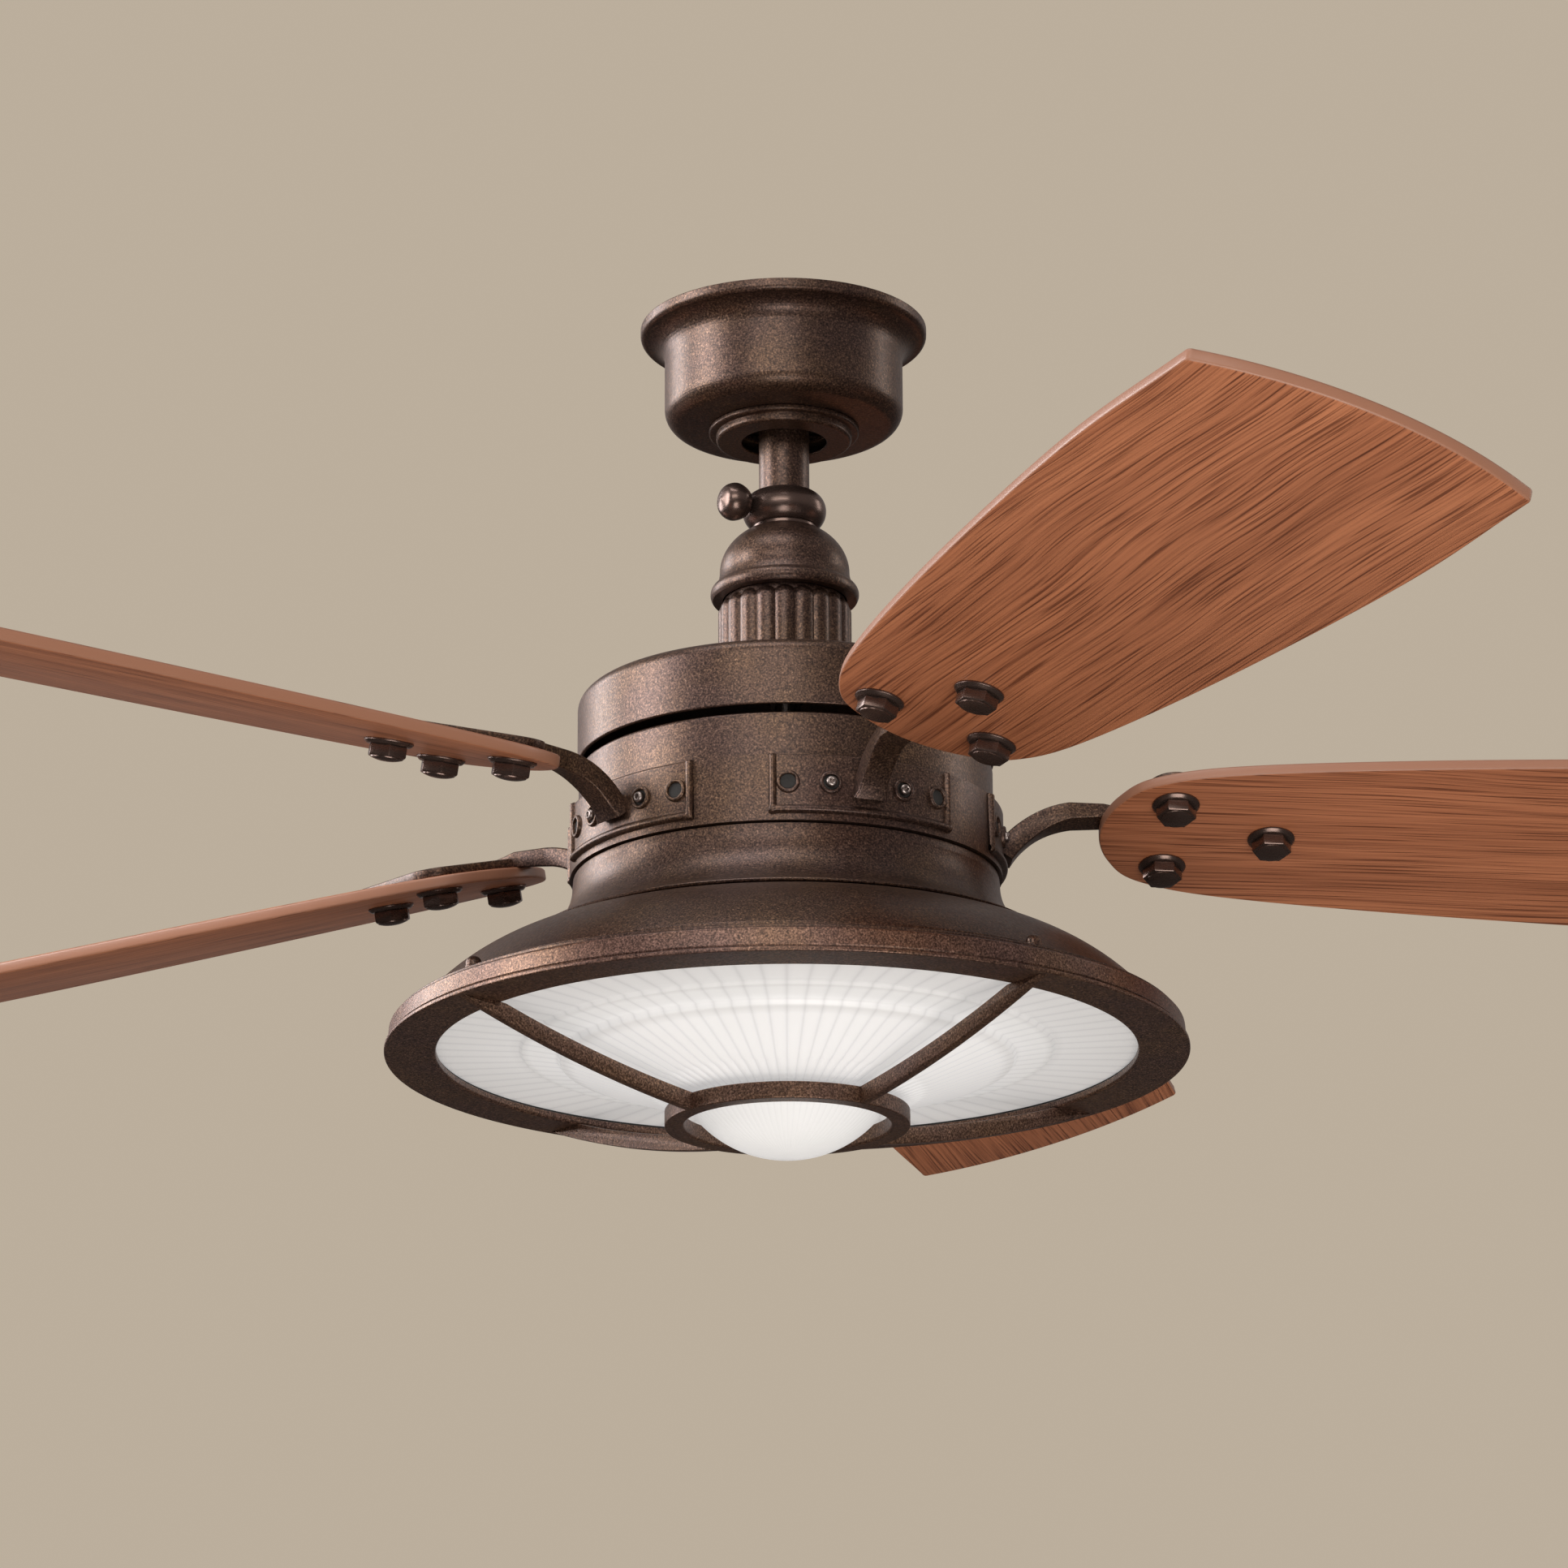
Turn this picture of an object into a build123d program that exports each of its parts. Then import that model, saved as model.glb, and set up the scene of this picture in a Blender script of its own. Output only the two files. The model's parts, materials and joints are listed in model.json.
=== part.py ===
from build123d import *
import os
from math import asin, cos, degrees, radians, sin, sqrt

# Five-blade ceiling fan with a caged glass light, hung on a short rod from a ball joint.
# Millimetres, +Z up.  The origin is on the ceiling, at the centre of the hanger bracket,
# so every height is negative.  -Y is the front.

# ---- driving dimensions -------------------------------------------------------------
SKIN = 1.5                      # sheet thickness of the spun covers
RUNNING_GAP = 0.3               # between curved faces of pieces that move on each other
SHAFT_CLEARANCE = 0.05          # radial clearance of a bearing or a pin that turns
TAP_R = 1.6                     # hole for an M4 thread
SCREW_R = 1.9                   # shank of the M4 screws
SCREW_HOLE_R = 2.0              # the hole it passes through

BALL_Z = -30.0                  # centre of the hanger ball
BALL_R = 22.0
CUP_SKIN = 2.2
ROD_R = 13.0
ROD_BORE_R = 11.0
ROD_TOP_Z = -12.0
ROD_BOTTOM_Z = -150.0

BRACKET_LENGTH = 108.0
BRACKET_WIDTH = 36.0
BRACKET_SKIN = 2.5
BOX_HOLE_SPACING = 88.9         # 3.5 in, the usual ceiling box spacing
BOX_HOLE_R = 2.6
WIRE_HOLE_R = 11.0
LEG_X = 31.0
CRADLE_R = 31.0
CRADLE_BOTTOM_Z = -47.0
BOSS_R = 4.5
CANOPY_SCREW_X = 29.0

CANOPY_LIP_R = 74.4
CANOPY_BODY_R = 61.8
CANOPY_BOTTOM_Z = -55.4
CANOPY_HOLE_R = 24.0
TRIM_OUTER_R = 38.9
TRIM_INNER_R = 35.1
TRIM_HOLE_R = 22.0
TRIM_BOTTOM_Z = -62.8

COLLAR_R = 21.6
COLLAR_Z = -100.5               # height of the collar's widest line
COLLAR_TOP_Z = -91.0
COLLAR_SWELL = 9.0              # how far its bead swells outward
COLLAR_HALF_HEIGHT = 10.0       # of the whole bead, had it no flats
COLLAR_BOTTOM_Z = -111.5
THUMB_AZIMUTH = 212.0
THUMB_SCREW_R = 2.5
KNOB_R = 9.9
KNOB_HALF_LENGTH = 8.2
KNOB_CENTRE = 30.4              # from the rod's axis to the middle of the knob

BEAD_R = 38.2
BEAD_BOTTOM_Z = -149.5
COLUMN_R = 34.2
COLUMN_CORE_R = 31.2
COLUMN_BORE_R = 30.4
REEDS = 20
REED_R = 7.0
REED_ARCH_Z = -156.6            # where each reed's round top begins

YOKE_TOP_Z = -113.5             # the coupling inside the dome and the column
YOKE_PIN_Z = -134.0
YOKE_PIN_EYE_X = 19.4           # where the cotter pin passes through the yoke's pin
YOKE_R = 16.5
YOKE_FLANGE_R = 29.0
YOKE_FLANGE_SKIN = 6.0
YOKE_FOOT_Z = -196.4
FLANGE_SCREW_CIRCLE_R = 24.0
PIN_R = 3.0

SHELL_R = 106.0                 # the still cover on top of the motor
SHELL_TOP_Z = -203.5
CROWN_RISE = 4.0                # of the cover's middle above its shoulder
SHELL_BOTTOM_Z = -238.0

ROTOR_R = 105.3
ROTOR_TOP_Z = -242.0
ROTOR_BOTTOM_Z = -299.2
ROTOR_SKIN = 3.0
BELT_R = 109.5
BELT_TOP_Z = -265.5
SHAFT_R = 8.0
SHAFT_BORE_R = 5.0
SHAFT_FOOT_Z = -348.0
BEARING_R = 17.0
BEARING_WIDTH = 10.0
STATOR_LOW_Z = -286.0
STATOR_HIGH_Z = -258.0
STATOR_HUB_R = 46.0
TOOTH_R = 76.0
TEETH = 12
MAGNET_R = 84.0                 # outside of the ring of magnets
MAGNET_WALL = 5.0               # the steel wall behind the magnets

BLADES = 5
FIRST_BLADE = -68.4             # azimuth of blade 1 at rest
SWEEP_R = 660.7                 # 52 in across the tips
BLADE_ROOT = 160.0
BLADE_CORNER = 643.0
BLADE_HALF_WIDTH = 81.5
BLADE_THICKNESS = 6.0
BLADE_PITCH = -14.7             # the leading edge stands lower
BLADE_DROOP = 1.13
BLADE_Z = -268.3                # height at which the blade's underside meets the axis
BOLT_PLACES = ((195.6, 30.0), (195.6, -30.0), (248.0, 0.0))
BOLT_R = 3.1
BOLT_FLANGE_R = 12.1

PLATE_HALF_ANGLE = 26.0         # of each iron's curved foot
PLATE_R = 112.3
PLATE_BOTTOM_Z = -296.0
ARM_WIDTH = 14.0
ARM_THICKNESS = 11.0
ARM_BEND_R = 50.0
ARM_BEND_CENTRE = (152.0, -312.2)
PAD_THICKNESS = 5.0
SOCKET_ANGLES = (-21.0, -10.0, 10.0, 21.0)
SOCKET_R = 3.2
SOCKET_Z = -280.0
SOCKET_RIM = 1.5                # the shallow ring sunk round each socket
SOCKET_SINK = 0.9

HOUSING_R = 108.2
LIP_R = 133.3
LIP_Z = -335.4
PAN_TOP_Z = -337.0
PAN_SHOULDER_R = 131.0
PAN_SCREW_CIRCLE_R = 96.0
PAN_R = 187.0
PAN_FOOT_Z = -372.5
FLANGE_TOP_Z = -376.5
FLANGE_R = 197.5

RING_R = 202.0                  # the cage's big ring
RING_INNER_R = 176.0
RING_TOP_Z = -378.3
RING_BOTTOM_Z = -391.0
LEDGE_R = 184.5
LEDGE_Z = -387.0
RIBS = 4
FIRST_RIB = -52.0
RIB_THICKNESS = 5.0
RIB_HEIGHT = 8.5
RIB_SAG = 4.0
EYE_R = 61.5                    # the cage's small centre ring
EYE_INNER_R = 52.0
EYE_BOTTOM_Z = -427.0
NUT_CIRCLE_R = 192.0

GLASS_R = 183.4
GLASS_SKIN = 3.5
GLASS_BOTTOM_Z = -442.5
DOME_R = 61.0

LAMPS = 3
LAMP_Z = -366.5
LAMP_PLATE_Z = -348.5
LAMP_PLATE_R = 112.0
SOCKET_BODY_R = 11.0


# ---- small builders -----------------------------------------------------------------
def ring_points(outline):
    """A solid of revolution about Z from a face outline given as edges in (radius, height)."""
    return revolve(Plane.XZ * make_face(outline), axis=Axis.Z)


def lathe(points, radii=0.0):
    """A solid of revolution from a closed polygon of (radius, height), with rounded corners."""
    return ring_points(FilletPolyline(*points, radius=radii, close=True).edges())


def tube(outer_r, inner_r, low, high):
    """An upright tube."""
    return lathe([(inner_r, low), (outer_r, low), (outer_r, high), (inner_r, high)])


def rod(radius, low, high, x=0.0, y=0.0):
    """An upright round bar."""
    bar = Cylinder(radius, high - low, align=(Align.CENTER, Align.CENTER, Align.MIN))
    return Pos(x, y, low) * bar


def block(x_span, y_span, z_span):
    """A box from its lowest and highest coordinates."""
    size = [span[1] - span[0] for span in (x_span, y_span, z_span)]
    middle = [(span[1] + span[0]) / 2 for span in (x_span, y_span, z_span)]
    return Pos(*middle) * Box(*size)


def turned(shape, azimuth):
    """The shape turned about the fan's axis."""
    return Rot(0, 0, azimuth) * shape


def around(shape, count, first=0.0):
    """Copies of a shape at equal steps about the fan's axis."""
    return [turned(shape, first + 360.0 * i / count) for i in range(count)]


def polar(radius, azimuth):
    """(x, y) of a point from its radius and azimuth in degrees."""
    return radius * cos(radians(azimuth)), radius * sin(radians(azimuth))


def circle_of(count, radius, first):
    """(x, y) of points at equal steps round a circle about the fan's axis."""
    return [polar(radius, first + 360.0 * i / count) for i in range(count)]


def cross_bar(radius, start, end, height):
    """A round bar that lies level along X."""
    return radial_bar(radius, start, end, 0.0, height)


def radial_bar(radius, start, end, azimuth, height):
    """A round bar that lies level and points away from the fan's axis."""
    bar = Cylinder(radius, end - start, align=(Align.CENTER, Align.CENTER, Align.MIN))
    return Rot(0, 0, azimuth) * Pos(start, 0, height) * Rot(0, 90, 0) * bar


# ---- ceiling side -------------------------------------------------------------------
def hanger_bracket():
    """A steel strap for the ceiling box, with two legs that carry the ball's cradle."""
    half = BRACKET_LENGTH / 2
    side = BRACKET_WIDTH / 2
    body = block((-half, half), (-side, side), (-BRACKET_SKIN, 0))
    cradle = rod(CRADLE_R, CRADLE_BOTTOM_Z, BALL_Z - 7)
    leg_half_width = 12.0
    leg_half_skin = 1.5
    for sign in (-1, 1):
        middle = sign * LEG_X
        leg = block((middle - leg_half_skin, middle + leg_half_skin),
                    (-leg_half_width, leg_half_width), (CRADLE_BOTTOM_Z, 0))
        body += leg
        boss_foot = CANOPY_BOTTOM_Z + SKIN
        cradle += rod(BOSS_R, boss_foot, CRADLE_BOTTOM_Z + 2, sign * CANOPY_SCREW_X)
    seat_r = BALL_R + CUP_SKIN + 2 * RUNNING_GAP
    cradle -= Pos(0, 0, BALL_Z) * Sphere(seat_r)
    cradle -= rod(seat_r * sin(radians(46)), CRADLE_BOTTOM_Z - 1, BALL_Z)
    body += cradle
    for sign in (-1, 1):
        body -= rod(BOX_HOLE_R, -BRACKET_SKIN - 1, 1, sign * BOX_HOLE_SPACING / 2)
        body -= rod(1.95, CANOPY_BOTTOM_Z, CRADLE_BOTTOM_Z + 3, sign * CANOPY_SCREW_X)
    body -= rod(WIRE_HOLE_R, -BRACKET_SKIN - 1, 1)
    return body


def canopy():
    """The spun cup against the ceiling: rolled lip, cove, upright wall and flat floor."""
    outer = [(CANOPY_LIP_R, -0.3), (CANOPY_LIP_R, -6.5), (CANOPY_BODY_R, -7.6),
             (CANOPY_BODY_R, CANOPY_BOTTOM_Z + 1.8), (TRIM_OUTER_R, CANOPY_BOTTOM_Z),
             (CANOPY_HOLE_R, CANOPY_BOTTOM_Z)]
    inner = [(CANOPY_HOLE_R, CANOPY_BOTTOM_Z + SKIN),
             (TRIM_OUTER_R, CANOPY_BOTTOM_Z + SKIN),
             (CANOPY_BODY_R - SKIN, CANOPY_BOTTOM_Z + 1.8 + SKIN),
             (CANOPY_BODY_R - SKIN, -6.0), (CANOPY_LIP_R - SKIN, -5.0),
             (CANOPY_LIP_R - SKIN, -0.3)]
    radii = [0.6, 3.0, 11.5, 9.5, 0.0, 0.0, 0.0, 0.0, 8.0, 10.0, 1.6, 0.6]
    shell = lathe(outer + inner, radii)
    for sign in (-1, 1):
        shell -= rod(2.1, CANOPY_BOTTOM_Z - 1, CANOPY_BOTTOM_Z + 3, sign * CANOPY_SCREW_X)
    return shell


def canopy_screws():
    """Two pan-head screws up through the canopy's floor into the cradle's bosses."""
    screws = []
    for sign in (-1, 1):
        x = sign * CANOPY_SCREW_X
        head = rod(3.6, CANOPY_BOTTOM_Z - 2.6, CANOPY_BOTTOM_Z, x)
        shank = rod(SCREW_R, CANOPY_BOTTOM_Z, CRADLE_BOTTOM_Z + 2, x)
        slot = Pos(x, 0, CANOPY_BOTTOM_Z - 2.4) * Box(7.4, 0.8, 1.2)
        screws.append(head + shank - slot)
    return screws


def canopy_trim_ring():
    """The stepped ring under the canopy: it twists on over the two screw heads."""
    top = CANOPY_BOTTOM_Z - RUNNING_GAP
    points = [(TRIM_OUTER_R, top), (TRIM_OUTER_R, -58.4), (TRIM_INNER_R, -58.4),
              (TRIM_INNER_R, TRIM_BOTTOM_Z), (TRIM_HOLE_R, TRIM_BOTTOM_Z),
              (TRIM_HOLE_R, TRIM_BOTTOM_Z + 1.2), (TRIM_INNER_R - 1.3, TRIM_BOTTOM_Z + 1.2),
              (TRIM_INNER_R - 1.3, -57.2), (TRIM_OUTER_R - 1.3, -57.2),
              (TRIM_OUTER_R - 1.3, top)]
    radii = [0.0, 1.1, 0.5, 1.6, 0.4, 0.0, 0.8, 0.0, 0.0, 0.0]
    return lathe(points, radii)


def receiver():
    """The speed and reversing control in the canopy, hung from the strap by its ear."""
    case = block((-24, 24), (33, 50), (-40, -12))
    case = fillet(case.edges().filter_by(Axis.Z), 2.5)
    ear = block((-9, 9), (15, 34), (-4.2, -BRACKET_SKIN))
    post = block((-9, 9), (32, 34), (-14, -BRACKET_SKIN))
    return case + ear + post


# ---- ball joint and rod -------------------------------------------------------------
def ball_cup():
    """The rubber seat between the ball and the cradle, open below for the rod."""
    inner_r = BALL_R + RUNNING_GAP
    outer_r = inner_r + CUP_SKIN
    low, high = radians(50), radians(74)

    def at(radius, angle):
        return radius * sin(angle), BALL_Z - radius * cos(angle)

    middle = (low + high) / 2
    outline = [Line(at(inner_r, low), at(outer_r, low)),
               ThreePointArc(at(outer_r, low), at(outer_r, middle), at(outer_r, high)),
               Line(at(outer_r, high), at(inner_r, high)),
               ThreePointArc(at(inner_r, high), at(inner_r, middle), at(inner_r, low))]
    return ring_points(outline)


def hanger_ball():
    """The nylon ball that the rod hangs from, with flats at its top and bottom."""
    ball = Pos(0, 0, BALL_Z) * Sphere(BALL_R)
    ball &= block((-30, 30), (-30, 30), (BALL_Z - 16, BALL_Z + 15))
    ball -= rod(ROD_R, BALL_Z - 30, BALL_Z + 30)
    ball -= cross_bar(PIN_R, -30, 30, BALL_Z)
    return ball


def ball_pin():
    """The cross pin that locks the rod into the ball."""
    return cross_bar(PIN_R, -20, 20, BALL_Z)


def downrod():
    """The hollow rod, drilled for the ball's pin and for the yoke's pin."""
    pipe = tube(ROD_R, ROD_BORE_R, ROD_BOTTOM_Z, ROD_TOP_Z)
    pipe -= cross_bar(PIN_R, -30, 30, BALL_Z)
    pipe -= cross_bar(PIN_R, -30, 30, YOKE_PIN_Z)
    return pipe


def wire_bundle():
    """The motor's and the lamps' leads, down the middle of the rod between the two pins."""
    side = 6.6
    return rod(2.6, ROD_BOTTOM_Z + 2, ROD_TOP_Z + 6, 0, side)


def motor_yoke():
    """The coupling: a sleeve round the rod's end, on the flange that carries the motor."""
    flange_z = YOKE_FOOT_Z + YOKE_FLANGE_SKIN
    points = [(ROD_R, YOKE_TOP_Z), (YOKE_R, YOKE_TOP_Z), (YOKE_R, flange_z),
              (YOKE_FLANGE_R, flange_z), (YOKE_FLANGE_R, YOKE_FOOT_Z),
              (SHAFT_R, YOKE_FOOT_Z), (SHAFT_R, ROD_BOTTOM_Z), (ROD_R, ROD_BOTTOM_Z)]
    sleeve = lathe(points)
    sleeve -= cross_bar(PIN_R, -30, 30, YOKE_PIN_Z)
    for x, y in circle_of(3, FLANGE_SCREW_CIRCLE_R, 90.0):
        sleeve -= rod(SCREW_HOLE_R, YOKE_FOOT_Z - 1, YOKE_FOOT_Z + 8, x, y)
    return sleeve


def yoke_pin():
    """The headed pin through the yoke and the rod."""
    shank = cross_bar(PIN_R, -20, 21, YOKE_PIN_Z)
    head = cross_bar(PIN_R + 1.2, -22, -20, YOKE_PIN_Z)
    eye = Pos(YOKE_PIN_EYE_X, 0, YOKE_PIN_Z) * Cylinder(0.9, 20)
    return shank + head - eye


def cotter_pin():
    """The clip through the yoke pin's far end."""
    leg = Pos(YOKE_PIN_EYE_X, 0, YOKE_PIN_Z) * Cylinder(0.8, 12)
    loop = Pos(YOKE_PIN_EYE_X, 0, YOKE_PIN_Z + 7.6) * Rot(90, 0, 0) * Torus(2.0, 0.7)
    return leg + loop


def collar():
    """The cast collar that grips the rod: one fat bead with a flat top and foot."""
    middle = COLLAR_R - COLLAR_SWELL

    def radius_at(height):
        part = (height - COLLAR_Z) / COLLAR_HALF_HEIGHT
        return middle + COLLAR_SWELL * sqrt(1 - part ** 2)

    neck_z = COLLAR_BOTTOM_Z + 2.0
    heights = (COLLAR_TOP_Z, COLLAR_TOP_Z - 3.2, COLLAR_Z, neck_z + 3.2, neck_z)
    bead = [(radius_at(z), z) for z in heights]
    outline = [Line((ROD_R, COLLAR_TOP_Z), bead[0]),
               Spline(*bead),
               Line(bead[-1], (bead[-1][0], COLLAR_BOTTOM_Z)),
               Line((bead[-1][0], COLLAR_BOTTOM_Z), (ROD_R, COLLAR_BOTTOM_Z)),
               Line((ROD_R, COLLAR_BOTTOM_Z), (ROD_R, COLLAR_TOP_Z))]
    ring = ring_points(outline)
    bore_r = THUMB_SCREW_R + SHAFT_CLEARANCE
    return ring - radial_bar(bore_r, ROD_R - 1, COLLAR_R + 3, THUMB_AZIMUTH, COLLAR_Z)


def thumb_screw():
    """The screw with an egg-shaped knob that clamps the collar on the rod."""
    shank = radial_bar(THUMB_SCREW_R, ROD_R + 0.3, KNOB_CENTRE, THUMB_AZIMUTH, COLLAR_Z)
    knob = ring_points([
        Line((0, -KNOB_HALF_LENGTH), (0, KNOB_HALF_LENGTH)),
        Spline((0, KNOB_HALF_LENGTH), (KNOB_R, 0), (0, -KNOB_HALF_LENGTH),
               tangents=((1, 0), (-1, 0)))])
    knob = Rot(0, 0, THUMB_AZIMUTH) * Pos(KNOB_CENTRE, 0, COLLAR_Z) * Rot(0, 90, 0) * knob
    neck = radial_bar(4.0, COLLAR_R + 0.4, COLLAR_R + 2.6, THUMB_AZIMUTH, COLLAR_Z)
    return shank + knob + neck


def yoke_cover():
    """The spun dome over the yoke, ending in a flared bead on top of the column."""
    dome_r, dome_height = 33.4, 27.3
    dome_z = -134.5                 # where the wall stands upright
    top_r = 17.4
    rise = dome_height * sqrt(1 - (top_r / dome_r) ** 2)
    part_way = radians(38)
    elbow = (dome_r * cos(part_way), dome_z + dome_height * sin(part_way))
    skin = 1.4
    crease_r, crease_z = 35.0, BEAD_BOTTOM_Z + 8.2
    outline = [
        Spline((dome_r, dome_z), elbow, (top_r, dome_z + rise), tangents=((0, 1), (-1, 0.55))),
        Line((top_r, dome_z + rise), (top_r - 0.9, dome_z + rise - skin)),
        Spline((top_r - 0.9, dome_z + rise - skin), (elbow[0] - 1.1, elbow[1] - 1.1),
               (dome_r - skin, dome_z), tangents=((1, -0.55), (0, -1))),
        Line((dome_r - skin, dome_z), (dome_r - skin, BEAD_BOTTOM_Z)),
        Line((dome_r - skin, BEAD_BOTTOM_Z), (BEAD_R - 1.2, BEAD_BOTTOM_Z)),
        ThreePointArc((BEAD_R - 1.2, BEAD_BOTTOM_Z), (BEAD_R, BEAD_BOTTOM_Z + 3.2),
                      (crease_r + 0.5, crease_z - 0.3)),
        Line((crease_r + 0.5, crease_z - 0.3), (crease_r, crease_z)),
        Spline((crease_r, crease_z), (dome_r, dome_z), tangents=((-0.5, 1), (0, 1))),
    ]
    return ring_points(outline)


def fluted_column():
    """The sleeve between the dome and the motor cover: upright reeds with round tops."""
    foot = SHELL_TOP_Z + CROWN_RISE
    reed_place = COLUMN_R - REED_R
    column = rod(COLUMN_CORE_R, foot, BEAD_BOTTOM_Z)
    reed = rod(REED_R, foot, REED_ARCH_Z, reed_place)
    reed += Pos(reed_place, 0, REED_ARCH_Z) * Sphere(REED_R)
    for member in around(reed, REEDS):
        column += member
    column &= rod(COLUMN_R + 1, foot, BEAD_BOTTOM_Z)
    return column - rod(COLUMN_BORE_R, foot - 1, BEAD_BOTTOM_Z + 1)


# ---- motor, still parts -------------------------------------------------------------
def motor_top_shell():
    """The still cover over the motor: a drum with a rounded shoulder and a low crown."""
    crown = SHELL_TOP_Z + CROWN_RISE
    points = [(SHELL_R, SHELL_BOTTOM_Z), (SHELL_R, SHELL_TOP_Z), (COLUMN_R + 2, crown),
              (SHAFT_R + 1, crown), (SHAFT_R + 1, crown - 2.0), (COLUMN_R + 2, crown - 2.0),
              (SHELL_R - 2.0, SHELL_TOP_Z - 2.0), (SHELL_R - 2.0, SHELL_BOTTOM_Z)]
    radii = [0.8, 7.0, 3.0, 0.0, 0.0, 2.0, 5.0, 0.8]
    shell = lathe(points, radii)
    shell -= rod(YOKE_FLANGE_R, crown - 5, crown + 1)
    spider = tube(YOKE_FLANGE_R + 1.4, SHAFT_R + 1, crown - 5.0, YOKE_FOOT_Z)
    shell += spider
    for x, y in circle_of(3, FLANGE_SCREW_CIRCLE_R, 90.0):
        shell -= rod(SCREW_HOLE_R, crown - 6, YOKE_FOOT_Z + 1, x, y)
    return shell


def shell_screws():
    """Three screws that hold the cover up to the yoke's flange."""
    screws = []
    foot = SHELL_TOP_Z + CROWN_RISE - 5.0
    for x, y in circle_of(3, FLANGE_SCREW_CIRCLE_R, 90.0):
        head = rod(3.6, foot - 2.4, foot, x, y)
        screws.append(head + rod(SCREW_R, foot, YOKE_FOOT_Z + 5, x, y))
    return screws


def motor_shaft():
    """The hollow shaft that the whole motor and the light hang on."""
    return tube(SHAFT_R, SHAFT_BORE_R, SHAFT_FOOT_Z, ROD_BOTTOM_Z - 4)


def stator_core():
    """Laminated iron with twelve teeth, pressed on the shaft."""
    core = tube(STATOR_HUB_R, SHAFT_R, STATOR_LOW_Z, STATOR_HIGH_Z)
    tooth = block((STATOR_HUB_R - 2, TOOTH_R - 4), (-6, 6), (STATOR_LOW_Z, STATOR_HIGH_Z))
    shoe = block((TOOTH_R - 5, TOOTH_R + 14), (-15, 15), (STATOR_LOW_Z, STATOR_HIGH_Z))
    shoe &= rod(TOOTH_R, STATOR_LOW_Z, STATOR_HIGH_Z)
    for part in around(tooth + shoe, TEETH):
        core += part
    return core


def stator_windings():
    """One copper coil round each tooth."""
    coil = block((STATOR_HUB_R + 3, TOOTH_R - 7), (-10, 10),
                 (STATOR_LOW_Z - 4, STATOR_HIGH_Z + 4))
    coil = fillet(coil.edges().filter_by(Axis.X), 3.0)
    coil -= block((STATOR_HUB_R - 6, TOOTH_R + 4), (-6, 6), (STATOR_LOW_Z, STATOR_HIGH_Z))
    return around(coil, TEETH)


def bearing(low):
    """A ball bearing on the shaft, drawn as one grooved ring."""
    ring = tube(BEARING_R, SHAFT_R, low, low + BEARING_WIDTH)
    groove = tube(14.0, 11.0, low - 1, low + 0.8)
    return ring - groove


# ---- motor, turning parts -----------------------------------------------------------
def rotor_housing():
    """The turning drum: band, top plate and upper bearing seat, with the magnets' wall."""
    seat_r = BEARING_R + SHAFT_CLEARANCE
    seat_z = ROTOR_TOP_Z - BEARING_WIDTH - 1
    under = ROTOR_TOP_Z - ROTOR_SKIN
    wall_r = MAGNET_R + MAGNET_WALL
    inside = ROTOR_R - ROTOR_SKIN
    points = [(ROTOR_R, ROTOR_BOTTOM_Z), (ROTOR_R, ROTOR_TOP_Z), (seat_r, ROTOR_TOP_Z),
              (seat_r, seat_z), (seat_r + 4, seat_z), (seat_r + 4, under), (MAGNET_R, under),
              (MAGNET_R, STATOR_LOW_Z), (wall_r, STATOR_LOW_Z), (wall_r, under),
              (inside, under), (inside, ROTOR_BOTTOM_Z)]
    radii = [0.0, 1.5] + [0.0] * 10
    return lathe(points, radii)


def rotor_base():
    """The plate that closes the drum from below and holds the lower bearing."""
    seat_r = BEARING_R + SHAFT_CLEARANCE
    rim = ROTOR_R - ROTOR_SKIN
    points = [(rim, ROTOR_BOTTOM_Z), (rim, ROTOR_BOTTOM_Z + ROTOR_SKIN),
              (seat_r + 4, ROTOR_BOTTOM_Z + ROTOR_SKIN), (seat_r + 4, ROTOR_BOTTOM_Z + 6),
              (seat_r, ROTOR_BOTTOM_Z + 6), (seat_r, ROTOR_BOTTOM_Z)]
    return lathe(points)


def rotor_magnets():
    """The ring of magnets round the stator."""
    return tube(MAGNET_R, TOOTH_R + 1.0, STATOR_LOW_Z, STATOR_HIGH_Z)


def belt_ring():
    """The raised belt round the drum, drilled at every socket of the irons."""
    belt = tube(BELT_R, ROTOR_R, ROTOR_BOTTOM_Z, BELT_TOP_Z)
    for blade in range(BLADES):
        for angle in SOCKET_ANGLES:
            belt -= radial_bar(SOCKET_R, ROTOR_R - 0.5, BELT_R + 2,
                               blade_azimuth(blade) + angle, SOCKET_Z)
    return belt


# ---- blades and their irons ---------------------------------------------------------
def blade_azimuth(index):
    """Where blade number index points."""
    return FIRST_BLADE + 360.0 * index / BLADES


def blade_place(index):
    """The frame of a blade: X along it, Z square to it, origin on the fan's axis."""
    return (Rot(0, 0, blade_azimuth(index)) * Pos(0, 0, BLADE_Z)
            * Rot(0, BLADE_DROOP, 0) * Rot(BLADE_PITCH, 0, 0))


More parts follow.
